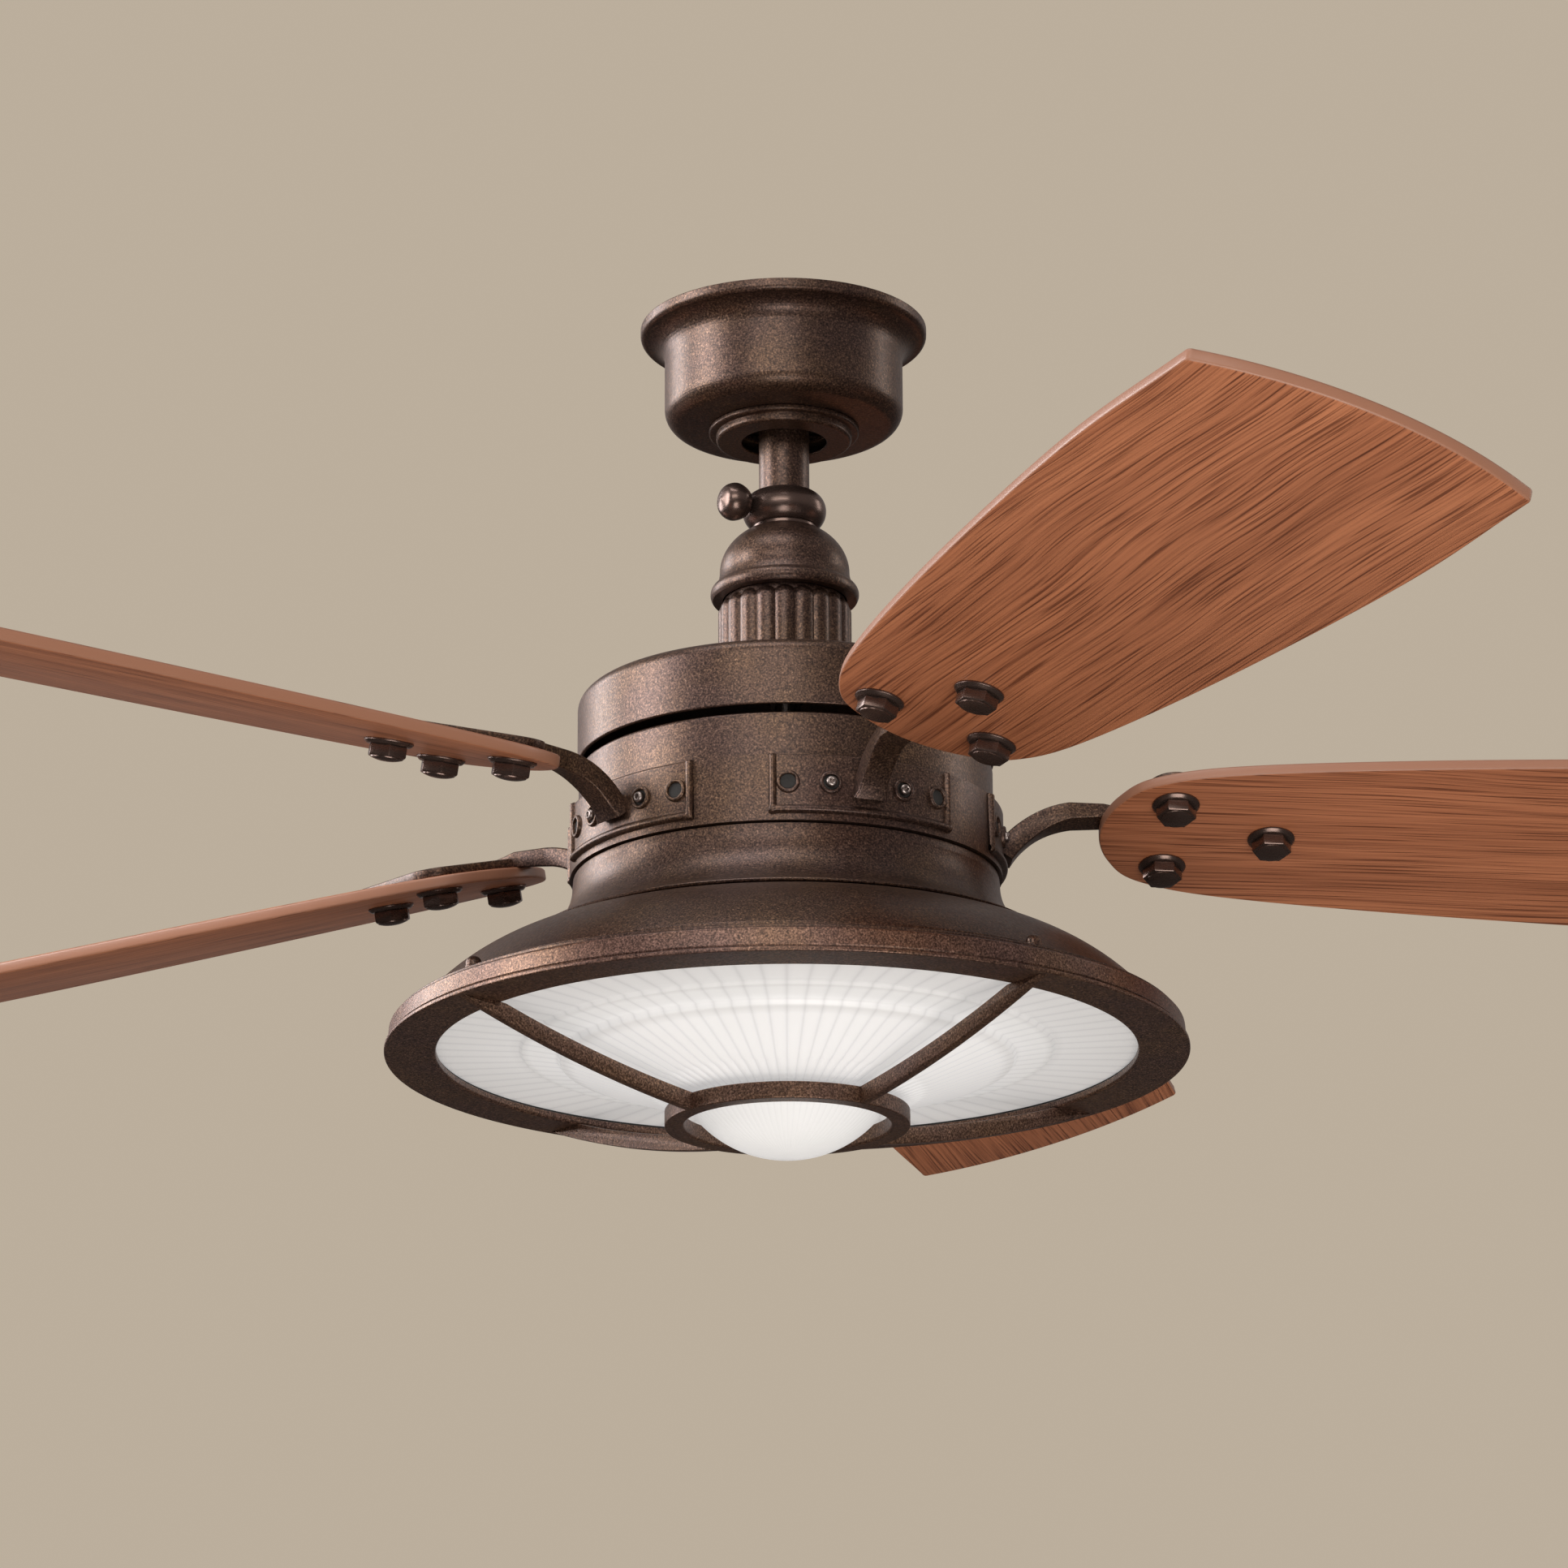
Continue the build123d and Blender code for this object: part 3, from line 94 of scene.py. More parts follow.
# ---- node materials --------------------------------------------------------------------
class Nodes:
    """A short way to write a node tree."""

    def __init__(self, name):
        self.material = bpy.data.materials.new(name)
        self.material.use_nodes = True
        self.tree = self.material.node_tree
        self.shader = self.tree.nodes["Principled BSDF"]
        self.place = self.tree.nodes.new("ShaderNodeTexCoord").outputs["Object"]

    def link(self, source, target):
        self.tree.links.new(source, target)

    def put(self, target, value):
        """Links a socket to the target, or sets a plain value on it."""
        if isinstance(value, bpy.types.NodeSocket):
            self.link(value, target)
        else:
            target.default_value = value

    def stretch(self, scale, place=None):
        """Coordinates multiplied by a scale for each axis."""
        node = self.tree.nodes.new("ShaderNodeVectorMath")
        node.operation = "MULTIPLY"
        self.link(place or self.place, node.inputs[0])
        node.inputs[1].default_value = scale
        return node.outputs[0]

    def noise(self, scale, detail=2.0, roughness=0.5, place=None):
        node = self.tree.nodes.new("ShaderNodeTexNoise")
        self.link(place or self.place, node.inputs["Vector"])
        node.inputs["Scale"].default_value = scale
        node.inputs["Detail"].default_value = detail
        node.inputs["Roughness"].default_value = roughness
        return node.outputs["Fac"]

    def cells(self, scale):
        node = self.tree.nodes.new("ShaderNodeTexVoronoi")
        node.feature = "SMOOTH_F1"
        self.link(self.place, node.inputs["Vector"])
        node.inputs["Scale"].default_value = scale
        return node.outputs["Distance"]

    def ramp(self, factor, stops):
        node = self.tree.nodes.new("ShaderNodeValToRGB")
        self.link(factor, node.inputs[0])
        elements = node.color_ramp.elements
        while len(elements) < len(stops):
            elements.new(0.5)
        for element, (at, colour) in zip(elements, stops):
            element.position = at
            element.color = (*colour, 1.0)
        return node.outputs["Color"]

    def span(self, value, low, high, new_low, new_high):
        """Maps low..high onto new_low..new_high."""
        node = self.tree.nodes.new("ShaderNodeMapRange")
        self.link(value, node.inputs["Value"])
        for key, number in (("From Min", low), ("From Max", high),
                            ("To Min", new_low), ("To Max", new_high)):
            node.inputs[key].default_value = number
        return node.outputs["Result"]

    def mix(self, factor, first, second, blend="MIX"):
        node = self.tree.nodes.new("ShaderNodeMix")
        node.data_type = "RGBA"
        node.blend_type = blend
        self.put(node.inputs["Factor"], factor)
        for target, value in ((node.inputs[6], first), (node.inputs[7], second)):
            self.put(target, value if isinstance(value, bpy.types.NodeSocket) else (*value, 1.0))
        return node.outputs[2]

    def calc(self, operation, first, second=0.0):
        node = self.tree.nodes.new("ShaderNodeMath")
        node.operation = operation
        self.put(node.inputs[0], first)
        self.put(node.inputs[1], second)
        return node.outputs[0]

    def bump(self, height, distance, strength):
        node = self.tree.nodes.new("ShaderNodeBump")
        self.link(height, node.inputs["Height"])
        node.inputs["Distance"].default_value = distance
        node.inputs["Strength"].default_value = strength
        self.link(node.outputs["Normal"], self.shader.inputs["Normal"])

    def finish(self, **values):
        """Puts each value into the shader's input of that name, and gives the material."""
        for key, value in values.items():
            self.put(self.shader.inputs[key.replace("_", " ").title()], value)
        return self.material


def hammered(name, dark, mid, bright, lightest, gloss=0.40, relief=0.6, grain=1050.0):
    """Powder-coated metal with a fine hammered speckle, in dark brown and copper."""
    n = Nodes(name)
    fine = n.noise(grain, 1.5, 0.6)
    blotch = n.noise(24.0, 3.0, 0.55)
    speckle = n.ramp(fine, ((0.30, dark), (0.48, mid), (0.66, bright), (0.82, lightest)))
    patina = n.ramp(blotch, ((0.32, (0.90, 0.84, 0.92)), (0.68, (1.14, 1.05, 0.86))))
    colour = n.mix(1.0, speckle, patina, "MULTIPLY")
    dimple = n.calc("MULTIPLY", n.cells(grain * 0.6), 0.6)
    n.bump(n.calc("ADD", dimple, fine), 0.00011, relief)
    roughness = n.span(n.noise(grain * 0.5, 2.0), 0.3, 0.7, gloss - 0.06, gloss + 0.08)
    return n.finish(base_color=colour, metallic=0.74, roughness=roughness,
                    coat_weight=0.22, coat_roughness=0.32)


# painted highlight: a flat tone laid on the blades' rounded edges and side walls in place of the
# light that catches them
EDGE_HIGHLIGHT = (0.31, 0.145, 0.088)


def wood(name):
    """Walnut: red-brown, with fine dark pores and slow figure along the blade, and a painted
    highlight on the edge.

    The mesh attributes "grain" and "edge" carry the board's own coordinates and its share of the
    painted edge highlight.
    """
    n = Nodes(name)
    grain = n.tree.nodes.new("ShaderNodeAttribute")
    grain.attribute_name = "grain"
    along = grain.outputs["Vector"]
    bend = n.noise(1.0, 2.0, 0.5, n.stretch((3.0, 7.0, 5.0), along))
    shift = n.tree.nodes.new("ShaderNodeCombineXYZ")
    n.link(n.calc("MULTIPLY", bend, 0.018), shift.inputs["Y"])
    wavy_node = n.tree.nodes.new("ShaderNodeVectorMath")
    wavy_node.operation = "ADD"
    n.link(along, wavy_node.inputs[0])
    n.link(shift.outputs[0], wavy_node.inputs[1])
    wavy = wavy_node.outputs[0]
    figure = n.noise(1.0, 3.0, 0.5, n.stretch((2.2, 46.0, 20.0), wavy))
    streak = n.noise(1.0, 2.0, 0.6, n.stretch((8.0, 540.0, 60.0), wavy))
    pores = n.noise(1.0, 1.0, 0.5, n.stretch((12.0, 900.0, 90.0), wavy))
    base = n.ramp(figure, ((0.30, (0.335, 0.120, 0.054)), (0.52, (0.395, 0.146, 0.067)),
                           (0.72, (0.450, 0.172, 0.080))))
    lines = n.ramp(streak, ((0.30, (0.58, 0.50, 0.46)), (0.43, (0.86, 0.83, 0.81)),
                            (0.53, (1.0, 1.0, 1.0)), (0.72, (1.08, 1.08, 1.08))))
    dots = n.ramp(pores, ((0.34, (0.42, 0.35, 0.31)), (0.45, (0.93, 0.92, 0.91)),
                          (0.60, (1.06, 1.06, 1.06))))
    board = n.mix(1.0, n.mix(1.0, base, lines, "MULTIPLY"), dots, "MULTIPLY")
    # painted highlight: the edge attribute swaps the wood for the flat edge tone
    edge = n.tree.nodes.new("ShaderNodeAttribute")
    edge.attribute_name = "edge"
    colour = n.mix(edge.outputs["Fac"], board, EDGE_HIGHLIGHT)
    n.bump(n.calc("ADD", streak, pores), 0.00008, 0.3)
    return n.finish(base_color=colour, roughness=n.span(streak, 0.3, 0.7, 0.48, 0.38),
                    coat_weight=0.12, coat_roughness=0.3)


def frosted(name, glow_strength, fluted=False):
    """Frosted opal glass with the lamps on behind it."""
    n = Nodes(name)
    cloud = n.noise(14.0, 3.0, 0.5)
    glow = n.ramp(cloud, ((0.3, (0.935, 0.945, 0.955)), (0.7, (0.975, 0.985, 1.0))))
    grit = n.noise(1500.0, 2.0)
    if fluted:
        split = n.tree.nodes.new("ShaderNodeSeparateXYZ")
        n.link(n.place, split.inputs[0])
        x, y = split.outputs["X"], split.outputs["Y"]
        angle = n.calc("ARCTAN2", y, x)
        turn = n.calc("SINE", n.calc("MULTIPLY", angle, GLASS_FLUTES / 2))
        wave = n.calc("ABSOLUTE", turn)
        radius = n.calc("SQRT", n.calc("ADD", n.calc("MULTIPLY", x, x),
                                       n.calc("MULTIPLY", y, y)))
        # painted shade: darker lines down the flutes' grooves, laid into the glow
        lines = n.ramp(wave, ((0.0, (0.86, 0.86, 0.865)), (0.35, (0.965, 0.965, 0.97)),
                              (0.8, (1.0, 1.0, 1.0))))
        # painted shade: darker rings at the two steps, a darker nose and a darker rim, laid into
        # the glow by radius
        painted_ring_shade = n.ramp(n.calc("DIVIDE", radius, GLASS_R * MM),
                       ((0.0, (0.93, 0.93, 0.925)), (0.26, (0.95, 0.95, 0.945)),
                        (0.36, (1.0, 1.0, 1.0)), (0.58, (1.0, 1.0, 1.0)),
                        (0.612, (0.86, 0.855, 0.85)), (0.64, (0.95, 0.95, 0.95)),
                        (0.705, (0.93, 0.93, 0.925)), (0.727, (0.80, 0.795, 0.79)),
                        (0.76, (0.86, 0.855, 0.85)), (1.0, (0.76, 0.75, 0.74))))
        outside_nose = n.span(radius, 0.030, 0.062, 0.15, 1.0)
        glow = n.mix(outside_nose, glow, n.mix(1.0, glow, lines, "MULTIPLY"))
        glow = n.mix(1.0, glow, painted_ring_shade, "MULTIPLY")
    n.bump(grit, 0.00004, 0.3)
    return n.finish(base_color=n.mix(1.0, glow, (0.64, 0.635, 0.63), "MULTIPLY"),
                    roughness=n.span(grit, 0.3, 0.7, 0.30, 0.42),
                    emission_color=glow, emission_strength=glow_strength,
                    coat_weight=0.2, coat_roughness=0.25)


def plain_metal(name, colour, roughness, scale=260.0, metallic=1.0):
    """Plated, cast or wound metal with fine scratches and a slight cloud."""
    n = Nodes(name)
    cloud = n.noise(60.0, 3.0)
    scratch = n.noise(1.0, 3.0, 0.7, n.stretch((scale, scale, scale * 6.0)))
    shade = n.ramp(cloud, ((0.3, tuple(c * 0.82 for c in colour)), (0.7, colour)))
    n.bump(scratch, 0.00004, 0.3)
    return n.finish(base_color=shade, metallic=metallic,
                    roughness=n.span(scratch, 0.3, 0.7, roughness * 0.85, roughness * 1.2))


def moulded(name, colour, roughness):
    """Moulded plastic or rubber with a fine grain."""
    n = Nodes(name)
    grain = n.noise(900.0, 3.0, 0.6)
    cloud = n.noise(40.0, 2.0)
    shade = n.ramp(cloud, ((0.3, tuple(c * 0.88 for c in colour)), (0.7, colour)))
    n.bump(grain, 0.00005, 0.4)
    return n.finish(base_color=shade,
                    roughness=n.span(grain, 0.3, 0.7, roughness * 0.9, roughness * 1.1))


BRONZE = hammered("hammered_bronze", (0.022, 0.013, 0.010), (0.068, 0.041, 0.030),
                  (0.150, 0.094, 0.066), (0.34, 0.23, 0.165))
BRONZE_DARK = plain_metal("dark_bronze", (0.150, 0.104, 0.089), 0.27, 170.0, 0.85)
BRONZE_RING = hammered("hammered_bronze_ring", (0.036, 0.021, 0.015), (0.112, 0.066, 0.048),
                       (0.240, 0.150, 0.110), (0.48, 0.33, 0.25), 0.42, 0.6)
WALNUT = wood("walnut")
GLASS = frosted("frosted_glass", 0.41, fluted=True)
LAMP_GLASS = frosted("lamp_glass", 1.5)
MATERIALS = {
    "bronze": BRONZE,
    "bronze_ring": BRONZE_RING,
    "bronze_dark": BRONZE_DARK,
    "walnut": WALNUT,
    "glass": GLASS,
    "zinc_steel": plain_metal("zinc_steel", (0.36, 0.31, 0.29), 0.36),
    "polished_steel": plain_metal("polished_steel", (0.62, 0.58, 0.56), 0.22),
    "aluminium": plain_metal("cast_aluminium", (0.60, 0.60, 0.60), 0.42),
    "iron_core": plain_metal("laminated_iron", (0.22, 0.22, 0.23), 0.5, 900.0),
    "copper": plain_metal("copper_wire", (0.55, 0.22, 0.10), 0.3, 1500.0),
    "magnet": plain_metal("magnet", (0.08, 0.08, 0.09), 0.55),
    "rubber": moulded("rubber", (0.020, 0.019, 0.018), 0.75),
    "nylon": moulded("nylon", (0.72, 0.70, 0.64), 0.45),
    "white_plastic": moulded("white_plastic", (0.78, 0.77, 0.73), 0.42),
    "black_plastic": moulded("black_plastic", (0.022, 0.022, 0.023), 0.5),
}


# ---- outlines --------------------------------------------------------------------------
def arc_points(start, middle, end, steps=24):
    """Points along the arc through three points, both ends included."""
    (ax, ay), (bx, by), (cx, cy) = start, middle, end
    d = 2 * (ax * (by - cy) + bx * (cy - ay) + cx * (ay - by))
    a2, b2, c2 = ax * ax + ay * ay, bx * bx + by * by, cx * cx + cy * cy
    ux = (a2 * (by - cy) + b2 * (cy - ay) + c2 * (ay - by)) / d
    uy = (a2 * (cx - bx) + b2 * (ax - cx) + c2 * (bx - ax)) / d
    radius = hypot(ax - ux, ay - uy)
    first = atan2(ay - uy, ax - ux)
    via = (atan2(by - uy, bx - ux) - first) % (2 * pi)
    last = (atan2(cy - uy, cx - ux) - first) % (2 * pi)
    sweep = last if via < last else last - 2 * pi
    return [(ux + radius * cos(first + sweep * i / steps),
             uy + radius * sin(first + sweep * i / steps)) for i in range(steps + 1)]


def rounded(points, radii, steps=6):
    """A closed polygon with its corners rounded."""
    result = []
    count = len(points)
    for i, (point, radius) in enumerate(zip(points, radii)):
        corner = Vector(point)
        before = (Vector(points[i - 1]) - corner).normalized()
        after = (Vector(points[(i + 1) % count]) - corner).normalized()
        angle = before.angle(after, pi)
        if radius <= 0 or angle > pi - 0.02:
            result.append(tuple(corner))
            continue
        reach = radius / (sin(angle / 2) / cos(angle / 2))
        centre = corner + (before + after).normalized() * radius / sin(angle / 2)
        ends = (corner + before * reach, corner + after * reach)
        middle = centre + (corner - centre).normalized() * radius
        result += arc_points(tuple(ends[0]), tuple(middle), tuple(ends[1]), steps)
    return result


def supported(points, closed=True, margin=0.35, longest=12.0):
    """The outline with extra points near the ends of long runs, so that they shade flat."""
    result = []
    count = len(points)
    for i in range(count if closed else count - 1):
        a, b = Vector(points[i]), Vector(points[(i + 1) % count])
        run = (b - a).length
        if run < 1e-6:
            continue
        result.append(tuple(a))
        if run > 4 * margin:
            inner = [margin / run]
            pieces = max(1, ceil((run - 2 * margin) / longest))
            inner += [(margin + (run - 2 * margin) * k / pieces) / run
                      for k in range(1, pieces)]
            inner.append(1 - margin / run)
            result += [tuple(a.lerp(b, t)) for t in inner]
    if not closed:
        result.append(tuple(points[-1]))
    return result


def smooth_curve(points, steps=16):
    """A Catmull-Rom curve through the points."""
    padded = [2 * Vector(points[0]) - Vector(points[1])]
    padded += [Vector(p) for p in points]
    padded.append(2 * Vector(points[-1]) - Vector(points[-2]))
    curve = []
    for i in range(1, len(padded) - 2):
        a, b, c, d = padded[i - 1:i + 3]
        for k in range(steps):
            t = k / steps
            curve.append(tuple(0.5 * ((2 * b) + (c - a) * t + (2 * a - 5 * b + 4 * c - d) * t ** 2
                                      + (3 * b - a - 3 * c + d) * t ** 3)))
    curve.append(tuple(padded[-2]))
    return curve


# ---- mesh builders ---------------------------------------------------------------------
class Mesh:
    """Vertices and faces gathered for one piece, in millimetres."""

    def __init__(self):
        self.points = []
        self.faces = []
        self.flat = []

    def add(self, points, faces, matrix=None, flat=()):
        """Adds a part.  flat lists those of its faces that aren't shaded smooth."""
        base = len(self.points)
        self.points += [tuple(matrix @ Vector(p)) if matrix else tuple(p) for p in points]
        self.faces += [tuple(base + i for i in face) for face in faces]
        self.flat += [i in flat for i in range(len(faces))]

    def lathe(self, profile, matrix=None, turns=TURNS, closed=True, shape=None):
        """Turns a (radius, height) outline about Z.  shape(r, z, angle) may move a point."""
        points, faces = [], []
        count = len(profile)
        for step in range(turns):
            angle = 2 * pi * step / turns
            for r, z in profile:
                if shape:
                    r, z = shape(r, z, angle)
                points.append((r * cos(angle), r * sin(angle), z))
        for step in range(turns):
            here, there = step * count, (step + 1) % turns * count
            for i in range(count if closed else count - 1):
                j = (i + 1) % count
                axis_i, axis_j = profile[i][0] < 1e-6, profile[j][0] < 1e-6
                if axis_i and axis_j:
                    continue
                if axis_i:
                    faces.append((i, there + j, here + j))
                elif axis_j:
                    faces.append((here + i, there + i, j))
                else:
                    faces.append((here + i, there + i, there + j, here + j))
        self.add(points, faces, matrix)

    def slab(self, outline, low, high, soft, matrix=None, steps=3):
        """A plate from a closed outline in XY, with rounded edges."""
        count = len(outline)
        normals = []
        for i in range(count):
            run = Vector(outline[(i + 1) % count]) - Vector(outline[i - 1])
            normals.append(Vector((run.y, -run.x)).normalized())
        area = sum(outline[i - 1][0] * outline[i][1] - outline[i][0] * outline[i - 1][1]
                   for i in range(count))
        side = 1 if area > 0 else -1
        rings = []
        for k in range(steps + 1):
            turn = pi / 2 * k / steps
            rings.append((soft * (1 - sin(turn)), low + soft * (1 - cos(turn))))
        rings += [(inset, high - (z - low)) for inset, z in reversed(rings)]
        points, faces = [], []
        for inset, z in rings:
            for (x, y), normal in zip(outline, normals):
                points.append((x - side * normal.x * inset, y - side * normal.y * inset, z))
        for ring in range(len(rings) - 1):
            for i in range(count):
                j = (i + 1) % count
                a, b = ring * count, (ring + 1) * count
                faces.append((a + i, a + j, b + j, b + i))
        faces.append(tuple(reversed(range(count))))
        faces.append(tuple((len(rings) - 1) * count + i for i in range(count)))
        self.add(points, faces, matrix, flat=(len(faces) - 2, len(faces) - 1))

    def sweep(self, frames, section):
        """Carries a closed (across, up) section along frames (point, across, up, scale)."""
        points, faces = [], []
        count = len(section)
        for point, across, up, (wide, tall) in frames:
            points += [tuple(Vector(point) + Vector(across) * u * wide + Vector(up) * v * tall)
                       for u, v in section]
        for k in range(len(frames) - 1):
            a, b = k * count, (k + 1) * count
            faces += [(a + i, a + (i + 1) % count, b + (i + 1) % count, b + i)
                      for i in range(count)]
        faces.append(tuple(reversed(range(count))))
        faces.append(tuple((len(frames) - 1) * count + i for i in range(count)))
        self.add(points, faces, flat=(len(faces) - 2, len(faces) - 1))

    def piece(self, name, body, slot, *nodes, sharp=38.0, place=None, grain=None, edge=None):
        """Makes the object, with its finish, its body and the CAD nodes it stands for.

        grain and edge give a point's wood coordinates and its share of the painted edge
        highlight.
        """
        data = bpy.data.meshes.new(name)
        data.from_pydata([Vector(p) * MM for p in self.points], [], self.faces)
        data.validate()
        obj = bpy.data.objects.new(name, data)
        bpy.context.scene.collection.objects.link(obj)
        if grain:
            layer = data.attributes.new("grain", "FLOAT_VECTOR", "POINT")
            for i, point in enumerate(self.points):
                layer.data[i].vector = Vector(grain(point)) * MM
        # edge: where the blade's painted highlight goes
        if edge:
            layer = data.attributes.new("edge", "FLOAT", "POINT")
            for i, point in enumerate(self.points):
                layer.data[i].value = edge(point)
        if place:
            data.transform(Matrix.Translation(place.to_translation() * MM)
                           @ place.to_quaternion().to_matrix().to_4x4())
        work = bmesh.new()
        work.from_mesh(data)
        bmesh.ops.recalc_face_normals(work, faces=work.faces)
        work.to_mesh(data)
        work.free()
        for polygon, flat in zip(data.polygons, self.flat):
            polygon.use_smooth = not flat
        data.set_sharp_from_angle(angle=radians(sharp))
        data.materials.append(MATERIALS[slot])
        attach(obj, body)
        if nodes:
            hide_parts(*nodes)


def turned(azimuth):
    """A turn about the fan's axis, in degrees."""
    return Matrix.Rotation(radians(azimuth), 4, "Z")


def outward(azimuth, radius, height):
    """A frame whose Z points away from the fan's axis, at a radius and a height."""
    return turned(azimuth) @ Matrix.Translation((radius, 0, height)) @ Matrix.Rotation(
        pi / 2, 4, "Y")


def at_polar(radius, azimuth, height):
    """A shift to a point given by radius, azimuth and height."""
    angle = radians(azimuth)
    return Matrix.Translation((radius * cos(angle), radius * sin(angle), height))


def lathed(name, body, slot, profile, *nodes, turns=TURNS):
    """A piece that is one closed outline turned about the fan's axis."""
    mesh = Mesh()
    mesh.lathe(supported(profile), turns=turns)
    mesh.piece(name, body, slot, *nodes)


# ---- ceiling side ----------------------------------------------------------------------
def build_canopy():
    """The canopy's cup and the stepped ring under it."""
    outer = [(CANOPY_LIP_R, -0.3), (CANOPY_LIP_R, -6.5), (CANOPY_BODY_R, -7.6),
             (CANOPY_BODY_R, CANOPY_BOTTOM_Z + 1.8), (TRIM_OUTER_R, CANOPY_BOTTOM_Z),
             (CANOPY_HOLE_R, CANOPY_BOTTOM_Z)]
    inner = [(CANOPY_HOLE_R, CANOPY_BOTTOM_Z + SKIN),
             (TRIM_OUTER_R, CANOPY_BOTTOM_Z + SKIN),
             (CANOPY_BODY_R - SKIN, CANOPY_BOTTOM_Z + 1.8 + SKIN),
             (CANOPY_BODY_R - SKIN, -6.0), (CANOPY_LIP_R - SKIN, -5.0),
             (CANOPY_LIP_R - SKIN, -0.3)]
    radii = [0.6, 3.0, 11.5, 9.5, 6.0, 0.4, 0.4, 0.0, 8.0, 10.0, 1.6, 0.6]
    lathed("canopy_cup", "ceiling", "bronze", rounded(outer + inner, radii, 10), "canopy")
    top, step_z, wall, plate = CANOPY_BOTTOM_Z - 0.3, -58.4, 1.3, 1.2
    ring = [(TRIM_OUTER_R, top), (TRIM_OUTER_R, step_z), (TRIM_INNER_R, step_z),
            (TRIM_INNER_R, TRIM_BOTTOM_Z), (TRIM_HOLE_R, TRIM_BOTTOM_Z),
            (TRIM_HOLE_R, TRIM_BOTTOM_Z + plate), (TRIM_INNER_R - wall, TRIM_BOTTOM_Z + plate),
            (TRIM_INNER_R - wall, step_z + plate), (TRIM_OUTER_R - wall, step_z + plate),
            (TRIM_OUTER_R - wall, top)]
    lathed("trim_ring", "trim_ring", "bronze",
           rounded(ring, [0.3, 1.2, 0.5, 1.9, 0.5, 0.4, 0.8, 0.0, 0.0, 0.3]),
           "canopy_trim_ring")


# ---- rod, collar, dome and column ------------------------------------------------------
def build_rod():
    """The open tube that the fan hangs from."""
    rod = [(ROD_BORE_R, ROD_BOTTOM_Z), (ROD_R, ROD_BOTTOM_Z), (ROD_R, ROD_TOP_Z),
           (ROD_BORE_R, ROD_TOP_Z)]
    lathed("rod_tube", "drop", "bronze", rounded(rod, [0.3, 0.6, 0.6, 0.3]), "downrod",
           turns=96)


def build_collar():
    """The swelling cast collar, and the thumb screw with its knob."""
    middle = COLLAR_R - COLLAR_SWELL
    low = asin((COLLAR_BOTTOM_Z + 2.0 - COLLAR_Z) / COLLAR_HALF_HEIGHT)
    high = asin((COLLAR_TOP_Z - COLLAR_Z) / COLLAR_HALF_HEIGHT)
    turns = [high + (low - high) * k / 40 for k in range(41)]
    profile = [(ROD_R, COLLAR_TOP_Z)]
    profile += [(middle + COLLAR_SWELL * cos(a), COLLAR_Z + COLLAR_HALF_HEIGHT * sin(a))
                for a in turns]
    profile += [(profile[-1][0], COLLAR_BOTTOM_Z), (ROD_R, COLLAR_BOTTOM_Z)]
    lathed("collar_cast", "drop", "bronze_dark", profile, "collar", turns=128)

    knob = smooth_curve([(0, KNOB_CENTRE + KNOB_HALF_LENGTH),
                         (KNOB_R * 0.72, KNOB_CENTRE + KNOB_HALF_LENGTH * 0.72),
                         (KNOB_R, KNOB_CENTRE), (KNOB_R * 0.74, KNOB_CENTRE - 6.4),
                         (3.6, KNOB_CENTRE - KNOB_HALF_LENGTH + 0.8)], 10)
    stem = [(3.6, 22.9), (3.6, 21.8), (THUMB_SCREW_R, 21.6), (THUMB_SCREW_R, ROD_R + 0.3),
            (0, ROD_R + 0.3)]
    mesh = Mesh()
    mesh.lathe(supported(knob + stem, closed=False), outward(THUMB_AZIMUTH, 0, COLLAR_Z),
               64, closed=False)
    mesh.piece("thumb_knob", "clamp", "bronze_dark", "thumb_screw")


def build_dome():
    """The cover over the yoke: a dome, a hollow crease and a round bead at the foot."""
    dome_r, dome_height, dome_z, top_r = 33.4, 27.3, -134.5, 17.4
    full_turn = asin(sqrt(1 - (top_r / dome_r) ** 2))
    skin = 1.4
    profile = [(dome_r * cos(full_turn * k / 24), dome_z + dome_height * sin(full_turn * k / 24))
               for k in range(25)]
    rim = profile[-1]
    inner = [(r - skin * 0.8, z - skin * 0.8) for r, z in reversed(profile)]
    crease_r, crease_z = 35.0, BEAD_BOTTOM_Z + 8.2
    bead = arc_points((BEAD_R - 1.2, BEAD_BOTTOM_Z), (BEAD_R, BEAD_BOTTOM_Z + 3.2),
                      (crease_r + 0.6, crease_z - 0.3), 16)
    bead += [(crease_r + 0.1, crease_z - 0.1)]
    for k in range(11):
        t = k / 11
        bead.append((crease_r + (dome_r - crease_r) * sin(t * pi / 2),
                     crease_z + (dome_z - crease_z) * t))
    lathed("yoke_dome", "drop", "bronze",
           profile + [(rim[0] - 0.7, rim[1])] + inner
           + [(dome_r - skin, BEAD_BOTTOM_Z)] + bead, "yoke_cover", turns=160)


